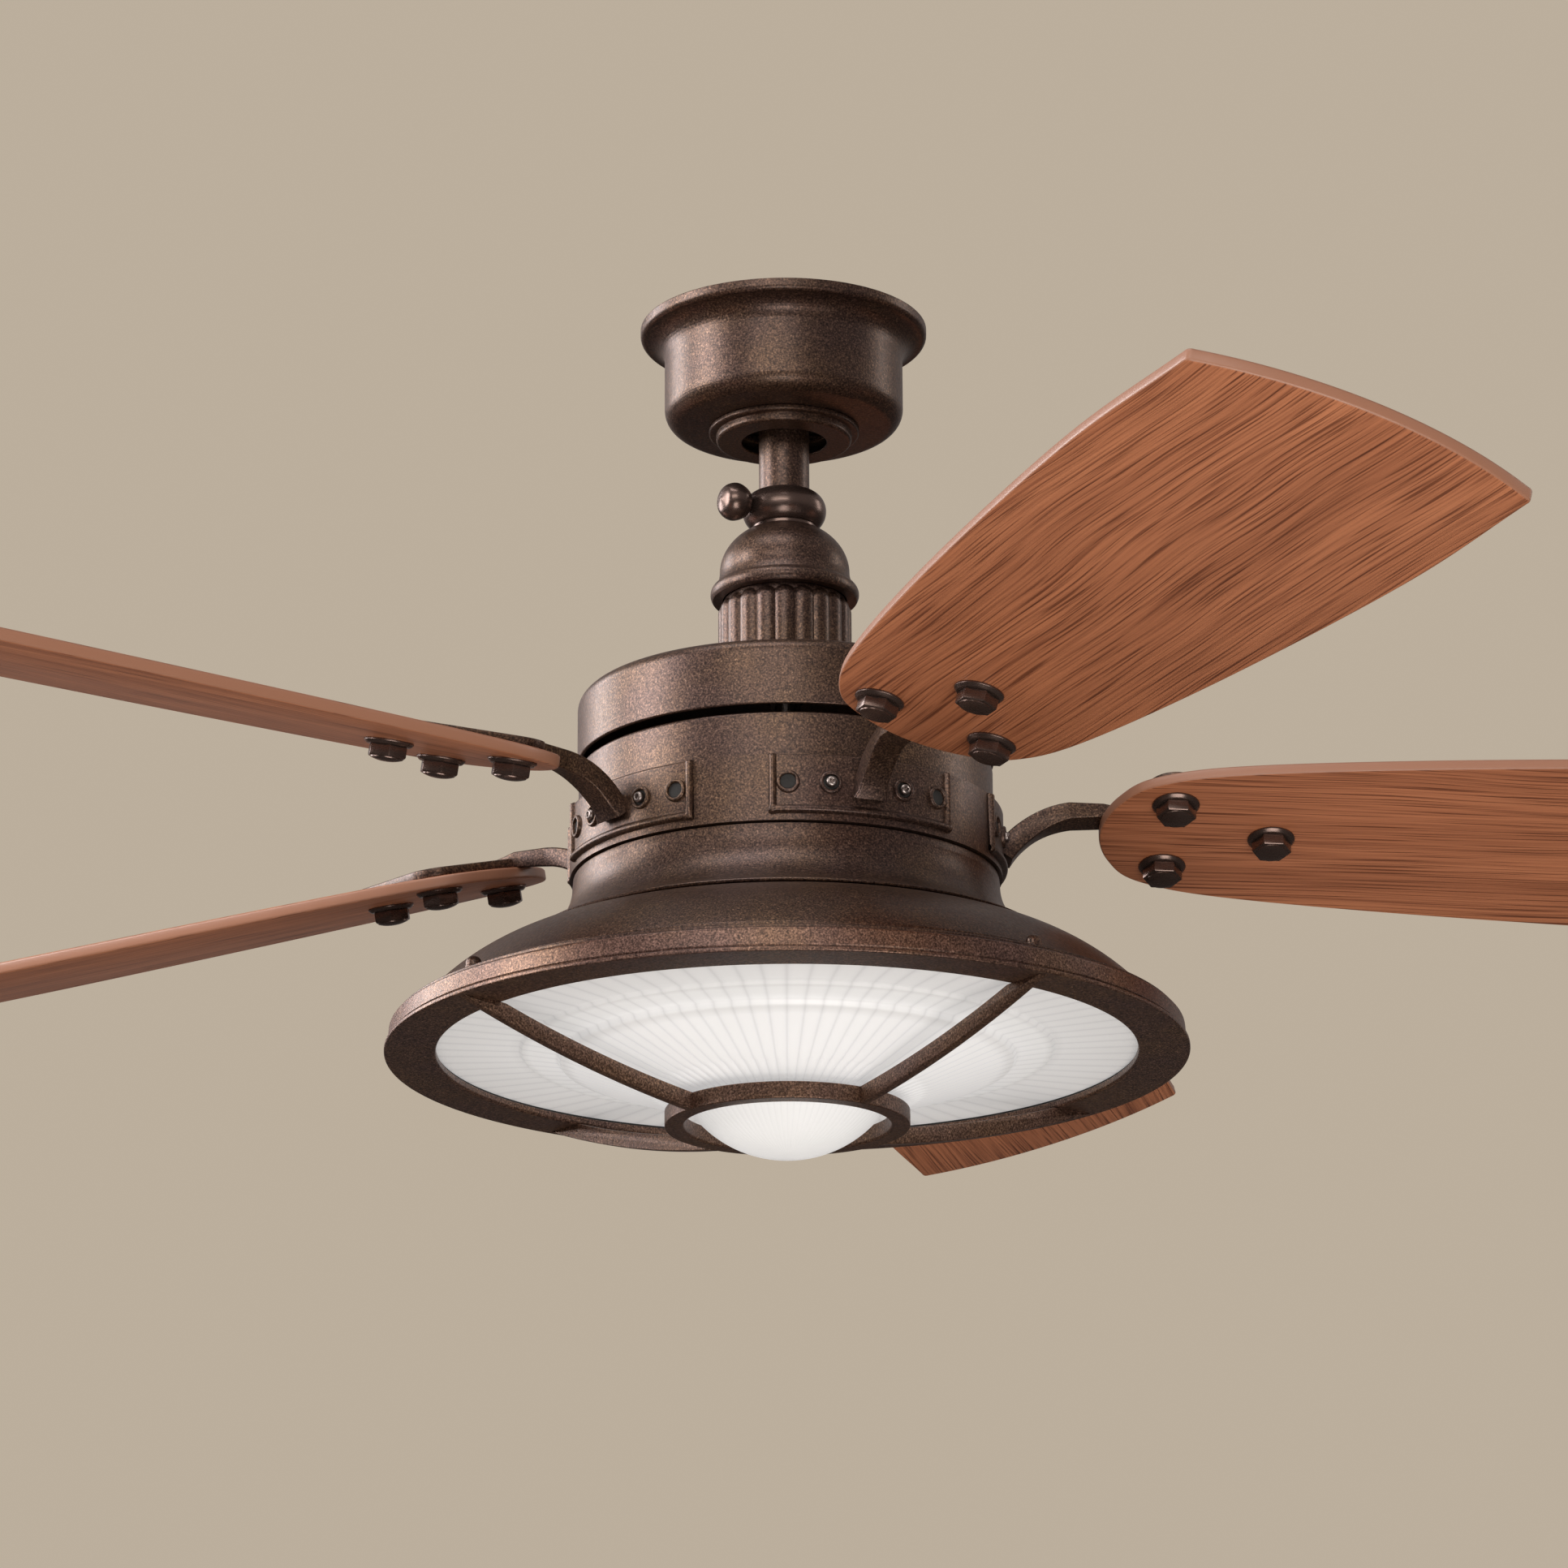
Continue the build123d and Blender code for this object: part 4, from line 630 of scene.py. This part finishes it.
def build_column():
    """The column: round reeds side by side, each with an arched top."""
    reed_r, reed_centre, core_r = 7.0, 27.2, 31.2
    foot_z = SHELL_CROWN_Z
    arch_z = BEAD_BOTTOM_Z - 7.1

    def reeded(r, z, angle):
        """Moves a point of the core out to the face of the nearest reed."""
        if r < core_r - 0.01:
            return r, z
        off = (angle + pi / REEDS) % (2 * pi / REEDS) - pi / REEDS
        above = max(0.0, z - arch_z)
        inside = reed_r ** 2 - above ** 2 - (reed_centre * sin(off)) ** 2
        if inside <= 0:
            return core_r, z
        return max(core_r, reed_centre * cos(off) + sqrt(inside)), z

    heights = [foot_z + (arch_z - foot_z) * k / 4 for k in range(4)]
    heights += [arch_z + (BEAD_BOTTOM_Z - arch_z) * k / 24 for k in range(25)]
    profile = [(COLUMN_BORE_R, BEAD_BOTTOM_Z), (COLUMN_BORE_R, foot_z)]
    profile += [(core_r, z) for z in heights]
    mesh = Mesh()
    mesh.lathe(profile, turns=REEDS * 18, shape=reeded)
    mesh.piece("reeded_column", "drop", "bronze", "fluted_column", sharp=50)


# ---- motor covers ----------------------------------------------------------------------
def build_motor():
    """The still cover on top of the motor, and the drum that turns under it."""
    crown, under, boss_z = SHELL_CROWN_Z, SHELL_CROWN_Z - SHELL_WALL, SHELL_CROWN_Z - 5.0
    inner_r = SHELL_R - SHELL_WALL
    shell = [(SHELL_R, SHELL_BOTTOM_Z), (SHELL_R, SHELL_TOP_Z), (COLUMN_R + 2, crown),
             (SHAFT_HOLE_R, crown), (SHAFT_HOLE_R, boss_z), (COLUMN_BORE_R, boss_z),
             (COLUMN_BORE_R, under), (COLUMN_R + 2, under),
             (inner_r, SHELL_TOP_Z - SHELL_WALL), (inner_r, SHELL_BOTTOM_Z)]
    lathed("motor_cover", "drop", "bronze",
           rounded(shell, [0.8, 7.0, 2.0, 0, 0, 0, 0, 0, 5.0, 0.6], 10), "motor_top_shell")
    seat_z, under = ROTOR_TOP_Z - BEARING_WIDTH, ROTOR_TOP_Z - ROTOR_WALL
    seat_outer_r, inner_r = BEARING_SEAT_R + SEAT_WALL, ROTOR_R - ROTOR_WALL
    drum = [(ROTOR_R, ROTOR_BOTTOM_Z), (ROTOR_R, ROTOR_TOP_Z), (BEARING_SEAT_R, ROTOR_TOP_Z),
            (BEARING_SEAT_R, seat_z), (seat_outer_r, seat_z), (seat_outer_r, under),
            (CUP_R, under), (CUP_R, CUP_BOTTOM_Z), (CUP_OUTER_R, CUP_BOTTOM_Z),
            (CUP_OUTER_R, under), (inner_r, under), (inner_r, ROTOR_BOTTOM_Z)]
    lathed("rotor_drum", "rotor", "bronze", rounded(drum, [0.3, 2.0] + [0.0] * 10),
           "rotor_housing")


# ---- irons, screws and bolts -----------------------------------------------------------
def blade_azimuth(index):
    """Direction of a blade, in degrees."""
    return FIRST_BLADE + 360.0 * index / BLADES


# X runs out along a blade, and Z = 0 is its underside
BLADE_FRAME = (Matrix.Translation((0, 0, BLADE_Z))
               @ Matrix.Rotation(radians(BLADE_DROOP), 4, "Y")
               @ Matrix.Rotation(radians(BLADE_PITCH), 4, "X"))


def foot_surface(angle, z):
    """Radius of the foot's outer face: a sunk field inside a raised border."""
    edge_width = 1.0
    from_end = (radians(PLATE_HALF_ANGLE) - abs(angle)) * PLATE_R
    from_bottom = z - PLATE_BOTTOM_Z
    from_top = BELT_TOP_Z - z
    base = PLATE_R - FOOT_PROUD

    def rim(distance):
        """Height of the half-round border, by distance from the foot's edge."""
        if distance < FOOT_BORDER:
            across = (distance - FOOT_BORDER / 2) / (FOOT_BORDER / 2)
            return sqrt(max(0.0, 1 - across ** 2)) * FOOT_PROUD
        return 0.0

    edge = min(from_end, from_bottom, from_top)
    falloff = edge_width * (1 - min(1.0, edge / edge_width)) ** 2 * 1.2
    return base + max(rim(from_end), rim(from_bottom)) - falloff


def add_foot(mesh, azimuth):
    """The curved plate that holds an iron to the belt."""
    half = radians(PLATE_HALF_ANGLE)
    across = [-half + 2 * half * k / 150 for k in range(151)]
    heights = [PLATE_BOTTOM_Z + (BELT_TOP_Z - PLATE_BOTTOM_Z) * k / 54 for k in range(55)]
    points, faces = [], []
    for angle in across:
        turn = radians(azimuth) + angle
        column = [(BELT_R + 0.02, heights[0])]
        column += [(foot_surface(angle, z), z) for z in heights]
        column.append((BELT_R + 0.02, heights[-1]))
        points += [(r * cos(turn), r * sin(turn), z) for r, z in column]
    rows = len(heights) + 2
    for i in range(len(across) - 1):
        for j in range(rows - 1):
            a = i * rows + j
            faces.append((a, a + rows, a + rows + 1, a + 1))
        faces.append((i * rows, i * rows + rows - 1, (i + 2) * rows - 1, (i + 1) * rows))
    faces.append(tuple(range(rows)))
    last = (len(across) - 1) * rows
    faces.append(tuple(reversed(range(last, last + rows))))
    mesh.add(points, faces)


def arm_frames(azimuth):
    """Frames along the arm: out of the foot, over the bend and down onto the pad."""
    centre_r, centre_z = ARM_BEND_CENTRE
    root = degrees(asin((centre_r - PLATE_R + 2.4) / ARM_BEND_R))
    stations = []
    for k in range(19):
        slope = root + (8 - root) * k / 18
        t = max(0.0, min(1.0, (40 - slope) / 40))
        roll = radians(BLADE_PITCH) * t * t * (3 - 2 * t)
        a = radians(slope)
        point = Vector((centre_r - ARM_BEND_R * sin(a), 0, centre_z + ARM_BEND_R * cos(a)))
        ahead = Vector((cos(a), 0, sin(a)))
        across = Matrix.Rotation(roll, 3, ahead) @ Vector((0, 1, 0))
        tall = ARM_THICKNESS - 1.6 * t
        flare = 1 + 0.28 * max(0.0, 1 - k / 4) ** 2
        stations.append((point, across, tall, flare))
    blade_across = BLADE_FRAME.to_3x3() @ Vector((0, 1, 0))
    for station, tall in ((BLADE_ROOT + 2, 8.0), (BLADE_ROOT + 8, 6.6), (BLADE_ROOT + 16, 5.2)):
        point = BLADE_FRAME @ Vector((station, 0, BLADE_THICKNESS + tall / 2))
        stations.append((point, blade_across, tall, 1.0))
    turn = turned(azimuth)
    frames = []
    for k, (point, across, tall, flare) in enumerate(stations):
        before = stations[max(0, k - 1)][0]
        after = stations[min(len(stations) - 1, k + 1)][0]
        ahead = (after - before).normalized()
        up = ahead.cross(across).normalized()
        if up.z < 0:
            up = -up
        frames.append((turn @ point, turn.to_3x3() @ across, turn.to_3x3() @ up,
                       (ARM_WIDTH * flare, tall)))
    return frames


def turns_left(a, b, c):
    """Whether the path from a through b to c bends to the left."""
    return (b[0] - a[0]) * (c[1] - a[1]) - (b[1] - a[1]) * (c[0] - a[0]) > 0


def hull(points):
    """The convex outline of the points, anticlockwise."""
    points = sorted(set(points))

    def half(sequence):
        chain = []
        for point in sequence:
            while len(chain) > 1 and not turns_left(chain[-2], chain[-1], point):
                chain.pop()
            chain.append(point)
        return chain[:-1]

    return half(points) + half(points[::-1])


def build_irons():
    """Each iron is a foot on the belt, a bent arm and a pad on top of the blade."""
    soft = 0.09
    section = rounded([(0.5, -0.5), (0.5, 0.5), (-0.5, 0.5), (-0.5, -0.5)], [soft] * 4, 3)
    circles = [(x, y, PAD_R) for x, y in BOLT_PLACES] + [(BLADE_ROOT + 8, 0, 8.0)]
    turns = [2 * pi * k / 72 for k in range(72)]
    outline = hull([(round(x + r * cos(turn), 4), round(y + r * sin(turn), 4))
                    for x, y, r in circles for turn in turns])
    for index in range(BLADES):
        azimuth = blade_azimuth(index)
        mesh = Mesh()
        add_foot(mesh, azimuth)
        mesh.sweep(arm_frames(azimuth), section)
        mesh.slab(outline, BLADE_THICKNESS + 0.02, BLADE_THICKNESS + PAD_THICKNESS, 0.9,
                  turned(azimuth) @ BLADE_FRAME)
        mesh.piece(f"iron_{index + 1}", "rotor", "bronze", f"blade_iron_{index + 1}", sharp=45)


def build_screws():
    """The sockets in the feet, with rims, black discs painted in as the shade inside their holes,
    and a screw in the inner two.
    """
    rims, screws, hole_shade_discs = Mesh(), Mesh(), Mesh()
    surface = PLATE_R - FOOT_PROUD
    rim = rounded([(3.7, -1.0), (6.0, -1.0), (5.6, 1.6), (4.0, 1.6)], [0, 0, 0.9, 0.6])
    head = [(0, 1.9), (0.9, 1.9), (1.2, 3.2)]
    head += arc_points((1.5, 3.4), (2.4, 2.9), (2.75, 1.7), 8)
    head += [(2.85, 0.3), (2.85, -0.6), (0, -0.6)]
    # painted shade: a black disc in each socket stands for the dark inside of the hole
    hole_shade_outline = [(0, 0.15), (3.9, 0.15), (3.9, -0.7), (0, -0.7)]
    for index in range(BLADES):
        for angle in SOCKET_ANGLES:
            place = outward(blade_azimuth(index) + angle, surface, SOCKET_Z)
            rims.lathe(rim, place, FINE_TURNS)
            hole_shade_discs.lathe(hole_shade_outline, place, FINE_TURNS, closed=False)
            if abs(angle) < max(SOCKET_ANGLES):
                screws.lathe(head, place, FINE_TURNS, closed=False)
    rims.piece("socket_rims", "rotor", "bronze")
    hole_shade_discs.piece("socket_hole_shade", "rotor", "rubber")
    screws.piece("foot_screws", "rotor", "zinc_steel", "iron_screws")


def build_bolts():
    """Hexagon bolts with a flange and a domed face, three under each blade."""
    mesh = Mesh()
    flange = rounded([(0, -2.4), (10.6, -2.4), (12.1, -0.9), (12.1, 0.0), (0, 0)],
                     [0, 0.8, 0.5, 0.3, 0])
    flange = [p for p in flange if p[0] > 1e-6]
    button = [(0, -10.2)] + arc_points((2.5, -10.05), (5.2, -9.6), (7.9, -8.7), 8)
    button += [(8.0, -8.0)]
    corner_r = 10.2
    hexagon = [(corner_r * cos(pi / 3 * k), corner_r * sin(pi / 3 * k)) for k in range(6)]
    hexagon = rounded(hexagon, [0.7] * 6, 2)
    for index in range(BLADES):
        for x, y in BOLT_PLACES:
            blade = turned(blade_azimuth(index)) @ BLADE_FRAME
            place = blade @ Matrix.Translation((x, y, 0))
            mesh.lathe([(0.001, -2.4)] + flange + [(0.001, 0)], place, FINE_TURNS)
            mesh.slab(hexagon, -8.2, -2.2, 0.9, place, 3)
            mesh.lathe(button, place, FINE_TURNS, closed=False)
    mesh.piece("flanged_bolts", "rotor", "bronze_dark", "blade_bolts", sharp=28)


# ---- blades ----------------------------------------------------------------------------
def blade_outline():
    """A round root, sides that widen almost to the tip, and a bulging tip."""
    half_side = [(BLADE_CORNER - 3.0, BLADE_HALF_WIDTH), (BLADE_ROOT + 365, 83.4),
                 (BLADE_ROOT + 201, 74.4), (BLADE_ROOT + 76, 61.5), (BLADE_ROOT + 26, 47.8),
                 (BLADE_ROOT + 7, 27.5)]
    far_side = [(x, -y) for x, y in half_side[::-1]]
    side = smooth_curve(half_side + [(BLADE_ROOT, 0)] + far_side, 14)
    tip_start = (BLADE_CORNER + 0.1, BLADE_HALF_WIDTH - 3.0)
    elbow = (BLADE_CORNER - 0.9, BLADE_HALF_WIDTH - 1.05)
    corner = arc_points(side[0], elbow, tip_start, 5)
    tip = arc_points((tip_start[0], -tip_start[1]), (SWEEP_R, 0), tip_start, 40)
    other = [(x, -y) for x, y in corner]
    return side + other[1:-1] + tip + corner[::-1][1:-1]


def build_blades():
    """Veneered boards, with a highlight painted round the edge."""
    outline = blade_outline()
    for index in range(BLADES):
        mesh = Mesh()
        mesh.slab(outline, 0, BLADE_THICKNESS, 1.3, None, 4)
        rows = len(mesh.points) // len(outline)
        # the points of the rounded edges and side walls, where the highlight is painted
        highlight_points = {tuple(point) for k, point in enumerate(mesh.points)
                if 1 < k // len(outline) < rows - 2}
        mesh.piece(f"paddle_{index + 1}", "rotor", "walnut", f"blade_{index + 1}",
                   place=turned(blade_azimuth(index)) @ BLADE_FRAME,
                   grain=lambda p, i=index: (p[0] + GRAIN_STEP[0] * i,
                                             p[1] + GRAIN_STEP[1] * i, p[2]),
                   edge=lambda p, highlight_points=highlight_points: 1.0 if tuple(p) in highlight_points else 0.0)


# ---- light -----------------------------------------------------------------------------
def build_skirt():
    """The still skirt under the drum, which flares in a hollow curve onto the pan."""
    top = ROTOR_BOTTOM_Z - 1.0
    start = top - 3.8
    turn = asin((start - LIP_Z) / COVE_R)

    def cove(radius, angle):
        return HOUSING_R + COVE_R - radius * cos(angle), start - radius * sin(angle)

    inside = COVE_R + SKIN
    outer = [cove(COVE_R, turn * k / 28) for k in range(29)]
    inner = [cove(inside, turn * k / 28) for k in range(28, -1, -1)]
    inner = [(r, max(z, PAN_TOP_Z + SKIN)) for r, z in inner]
    profile = [(HOUSING_R - 0.4, top)] + outer
    profile += [(LIP_R + 0.25, LIP_Z - 0.5), (LIP_R, PAN_TOP_Z + 0.3), (LIP_R - 0.4, PAN_TOP_Z)]
    profile += [(LEAD_HOLE_R, PAN_TOP_Z), (LEAD_HOLE_R, PAN_TOP_Z + SKIN),
                (inner[0][0] - 1.5, PAN_TOP_Z + SKIN)]
    profile += inner + [(HOUSING_R - SKIN, top)]
    lathed("skirt", "drop", "bronze", profile, "lower_housing")


def build_pan():
    """The bulging pan that the glass and the cage hang from."""
    under = PAN_TOP_Z - SKIN
    profile = [(LEAD_HOLE_R, PAN_TOP_Z - 0.02)]
    profile += arc_points((PAN_SHOULDER_R, PAN_TOP_Z - 0.02), PAN_BULGE, (PAN_R, PAN_FOOT_Z), 40)
    profile += [(PAN_R + 0.5, FLANGE_TOP_Z + 0.6), (PAN_R + 1.1, FLANGE_TOP_Z),
                (FLANGE_R - 0.4, FLANGE_TOP_Z), (FLANGE_R, FLANGE_TOP_Z - 0.4),
                (FLANGE_R, RING_TOP_Z + 0.02), (PAN_R - 1.4, RING_TOP_Z + 0.02)]
    profile += arc_points((PAN_R - 1.4, PAN_FOOT_Z - 0.8),
                          (PAN_BULGE[0] - 0.9, PAN_BULGE[1] - 1.3),
                          (PAN_SHOULDER_R - 0.5, under), 40)
    profile += [(LEAD_HOLE_R, under)]
    lathed("lamp_pan", "drop", "bronze", profile, "light_pan")


def build_cage():
    """The ring round the glass, four sagging ribs, the eye they meet in and the nuts."""
    ring = [(RING_INNER_R, LEDGE_Z), (RING_INNER_R, RING_BOTTOM_Z), (RING_R, RING_BOTTOM_Z),
            (RING_R, -389.0), (199.6, -388.2), (200.2, -387.2), (199.6, RING_TOP_Z),
            (LEDGE_R, RING_TOP_Z), (LEDGE_R, LEDGE_Z)]
    lathed("cage_hoop", "drop", "bronze_ring",
           rounded(ring, [0.6, 1.6, 0.7, 0.5, 0.3, 0.6, 1.6, 0.5, 0.0]), "cage_ring")
    eye = [(EYE_INNER_R, EYE_BOTTOM_Z), (EYE_R, EYE_BOTTOM_Z),
           (EYE_R, EYE_BOTTOM_Z + RIB_HEIGHT), (EYE_INNER_R, EYE_BOTTOM_Z + RIB_HEIGHT)]
    lathed("cage_eye", "drop", "bronze_ring", rounded(eye, [1.4, 0.6, 0.6, 0.6]),
           "cage_eye_ring")

    tip_r = RING_R - 3.0
    middle = ((tip_r + EYE_R) / 2 - 1.0, (RING_BOTTOM_Z + EYE_BOTTOM_Z) / 2 - RIB_SAG)
    low = arc_points((tip_r, RING_BOTTOM_Z), middle, (EYE_R - 0.5, EYE_BOTTOM_Z - 0.1), 60)
    high = [(r, min(z + RIB_HEIGHT, RING_BOTTOM_Z + 0.02)) for r, z in low]
    upright = Matrix(((1, 0, 0, 0), (0, 0, -1, 0), (0, 1, 0, 0), (0, 0, 0, 1)))
    side = low + high[::-1][:-1]
    for index in range(RIBS):
        mesh = Mesh()
        mesh.slab(side, -RIB_THICKNESS / 2, RIB_THICKNESS / 2, 0.5,
                  turned(FIRST_RIB + 360.0 * index / RIBS) @ upright, 2)
        mesh.piece(f"cage_bar_{index + 1}", "drop", "bronze_ring", f"cage_rib_{index + 1}")

    nuts = Mesh()
    nut = [(0, 6.5)] + arc_points((0.8, 6.42), (3.1, 5.2), (3.9, 2.6), 8)
    nut += [(3.9, 1.5), (4.2, 1.2), (4.2, 0.0), (0.001, 0.0)]
    for index in range(RIBS):
        nuts.lathe(nut, at_polar(NUT_CIRCLE_R, FIRST_RIB + 360.0 * index / RIBS, FLANGE_TOP_Z),
                   FINE_TURNS, closed=False)
    nuts.piece("domed_nuts", "drop", "bronze", "cage_cap_nuts")


def build_glass():
    """Pressed glass: plain rim, two steps, a fluted bowl and a fluted round nose."""
    dome_z, rim_z = GLASS_BOTTOM_Z + DOME_R, -386.0

    def nose(radius, r):
        return r, dome_z - sqrt(radius ** 2 - r ** 2)

    inner_r, inner_neck = DOME_R - GLASS_SKIN, GLASS_NECK_R - 2.0
    under = [(GLASS_R, rim_z), (176.5, rim_z), (134.4, -387.3), (133.0, -388.9),
             (115.4, -391.2), (113.7, -394.0), (62.0, -411.5), nose(DOME_R, GLASS_NECK_R)]
    under = rounded(under, [0.5, 0, 1.2, 1.2, 1.6, 1.6, 3.0, 0.0], 4)
    outline = supported(under, closed=False, longest=3.0)
    outline += [nose(DOME_R, GLASS_NECK_R * (1 - k / 26)) for k in range(1, 27)]
    outline += [nose(inner_r, inner_neck * k / 26) for k in range(27)]
    outline += [(63.5, -407.6), (112.0, -390.6), (114.0, -387.6), (131.6, -385.6),
                (134.0, -383.8), (GLASS_R, -382.4)]

    flutes_end_r, first_step_r = 170.0, 114.0

    def fluted(r, z, angle):
        """Raises the flutes' valleys, which are deepest on the bowl and fade at both ends."""
        if r > flutes_end_r or z > dome_z - inner_r + 30:
            return r, z
        depth = 0.12 if r < GLASS_NECK_R else 0.62 if r < first_step_r else 0.30
        fade = min(1.0, r / 26.0) * min(1.0, abs(flutes_end_r - r) / 8.0)
        wave = abs(sin(angle * GLASS_FLUTES / 2))
        return r, z + depth * fade * (1 - wave)

    mesh = Mesh()
    mesh.lathe(outline, turns=GLASS_FLUTES * 10, shape=fluted)
    mesh.piece("fluted_glass", "drop", "glass", "glass_diffuser", sharp=60)


# ---- CAD nodes that stay ---------------------------------------------------------------
def finish_nodes():
    """Gives every CAD node the finish of its slot, and smooth shading between its edges."""
    slots = {part["node"]: part["material_slot"] for part in frame["record"]["subparts"]}
    for name, node in frame["nodes"].items():
        node.data.materials.clear()
        is_lamp = name.startswith("bulb")
        node.data.materials.append(LAMP_GLASS if is_lamp else MATERIALS[slots[name]])
        for polygon in node.data.polygons:
            polygon.use_smooth = True
        node.data.set_sharp_from_angle(angle=radians(25.0))


# ---- stage -----------------------------------------------------------------------------
def softbox(name, place, size, power, colour, target=(0, 0, -0.27)):
    """A rectangular light, turned to face the target."""
    data = bpy.data.lights.new(name, "AREA")
    data.shape = "RECTANGLE"
    data.size, data.size_y = size
    data.energy = power
    data.color = colour
    light = bpy.data.objects.new(name, data)
    light.location = place
    bpy.context.scene.collection.objects.link(light)
    direction = Vector(target) - light.location
    light.rotation_euler = direction.to_track_quat("-Z", "Y").to_euler()


def build_floor():
    """A plain round floor, far below the fan, with a faint glow of its own."""
    floor_z, floor_r, count = -2.44, 16.0, 96
    turns = [2 * pi * k / count for k in range(count)]
    ring = [(floor_r * cos(turn), floor_r * sin(turn), floor_z) for turn in turns]
    data = bpy.data.meshes.new("floor")
    data.from_pydata(ring, [], [tuple(range(count))])
    floor = bpy.data.objects.new("floor", data)
    bpy.context.scene.collection.objects.link(floor)
    n = Nodes("floor_paint")
    tone = n.ramp(n.noise(3.0, 3.0), ((0.3, (0.56, 0.53, 0.48)), (0.7, (0.60, 0.57, 0.52))))
    data.materials.append(n.finish(base_color=tone, roughness=0.9, emission_color=tone,
                                   emission_strength=0.16))
    floor.visible_glossy = False


def build_world():
    """A plain wall as the camera sees it, and a sky, dark low down, that lights the fan."""
    world = bpy.data.worlds.new("studio")
    bpy.context.scene.world = world
    world.use_nodes = True
    tree = world.node_tree
    seen, lit = tree.nodes["Background"], tree.nodes.new("ShaderNodeBackground")
    seen.inputs["Color"].default_value = (0.50, 0.425, 0.335, 1)
    place = tree.nodes.new("ShaderNodeTexCoord")
    split = tree.nodes.new("ShaderNodeSeparateXYZ")
    tree.links.new(place.outputs["Generated"], split.inputs[0])
    height = tree.nodes.new("ShaderNodeValToRGB")
    spread = tree.nodes.new("ShaderNodeMapRange")
    spread.inputs["From Min"].default_value = -1.0
    tree.links.new(split.outputs["Z"], spread.inputs["Value"])
    tree.links.new(spread.outputs["Result"], height.inputs[0])
    elements = height.color_ramp.elements
    elements[0].position, elements[0].color = 0.42, (0.055, 0.045, 0.042, 1)
    elements[1].position, elements[1].color = 0.60, (0.29, 0.255, 0.24, 1)
    tree.links.new(height.outputs["Color"], lit.inputs["Color"])
    path = tree.nodes.new("ShaderNodeLightPath")
    mix = tree.nodes.new("ShaderNodeMixShader")
    tree.links.new(path.outputs["Is Camera Ray"], mix.inputs[0])
    tree.links.new(lit.outputs[0], mix.inputs[1])
    tree.links.new(seen.outputs[0], mix.inputs[2])
    tree.links.new(mix.outputs[0], tree.nodes["World Output"].inputs[0])


def build_lights():
    """The strongest light comes from the left, with fills in front and below."""
    softbox("left_box", (-2.5, -0.5, 0.50), (1.1, 1.6), 58, (1.0, 0.965, 0.96))
    softbox("left_rim", (-2.2, 1.2, 0.50), (1.0, 1.4), 34, (1.0, 0.96, 0.965))
    softbox("right_box", (2.5, 0.8, 0.60), (0.6, 1.3), 8, (1.0, 0.94, 0.88))
    softbox("front_fill", (-0.6, -3.1, 0.9), (2.4, 1.0), 30, (1.0, 0.95, 0.89))
    softbox("top_box", (-0.4, -0.8, 1.5), (1.4, 0.7), 13, (1.0, 0.96, 0.94), (0, -0.1, -0.27))
    softbox("low_fill", (0.4, -1.9, -1.6), (1.8, 1.2), 34, (1.0, 0.95, 0.90))


def build_camera():
    """A long lens that looks up at the fan from the front."""
    data = bpy.data.cameras.new("camera")
    data.sensor_width = 36.0
    data.lens = 134.96
    data.shift_x = -0.0011
    data.clip_end = 50.0
    camera = bpy.data.objects.new("camera", data)
    bpy.context.scene.collection.objects.link(camera)
    camera.location = (0.0, -2.8595, -1.1271)
    upward, roll = 17.1, -0.29
    turn = Matrix.Rotation(radians(90 + upward), 4, "X") @ Matrix.Rotation(radians(roll), 4, "Z")
    camera.rotation_euler = turn.to_euler()
    bpy.context.scene.camera = camera
    bpy.context.scene.view_settings.view_transform = "Standard"


finish_nodes()
build_canopy()
build_rod()
build_collar()
build_dome()
build_column()
build_motor()
build_irons()
build_screws()
build_bolts()
build_blades()
build_skirt()
build_pan()
build_cage()
build_glass()
build_floor()
build_world()
build_lights()
build_camera()

bpy.context.view_layer.update()
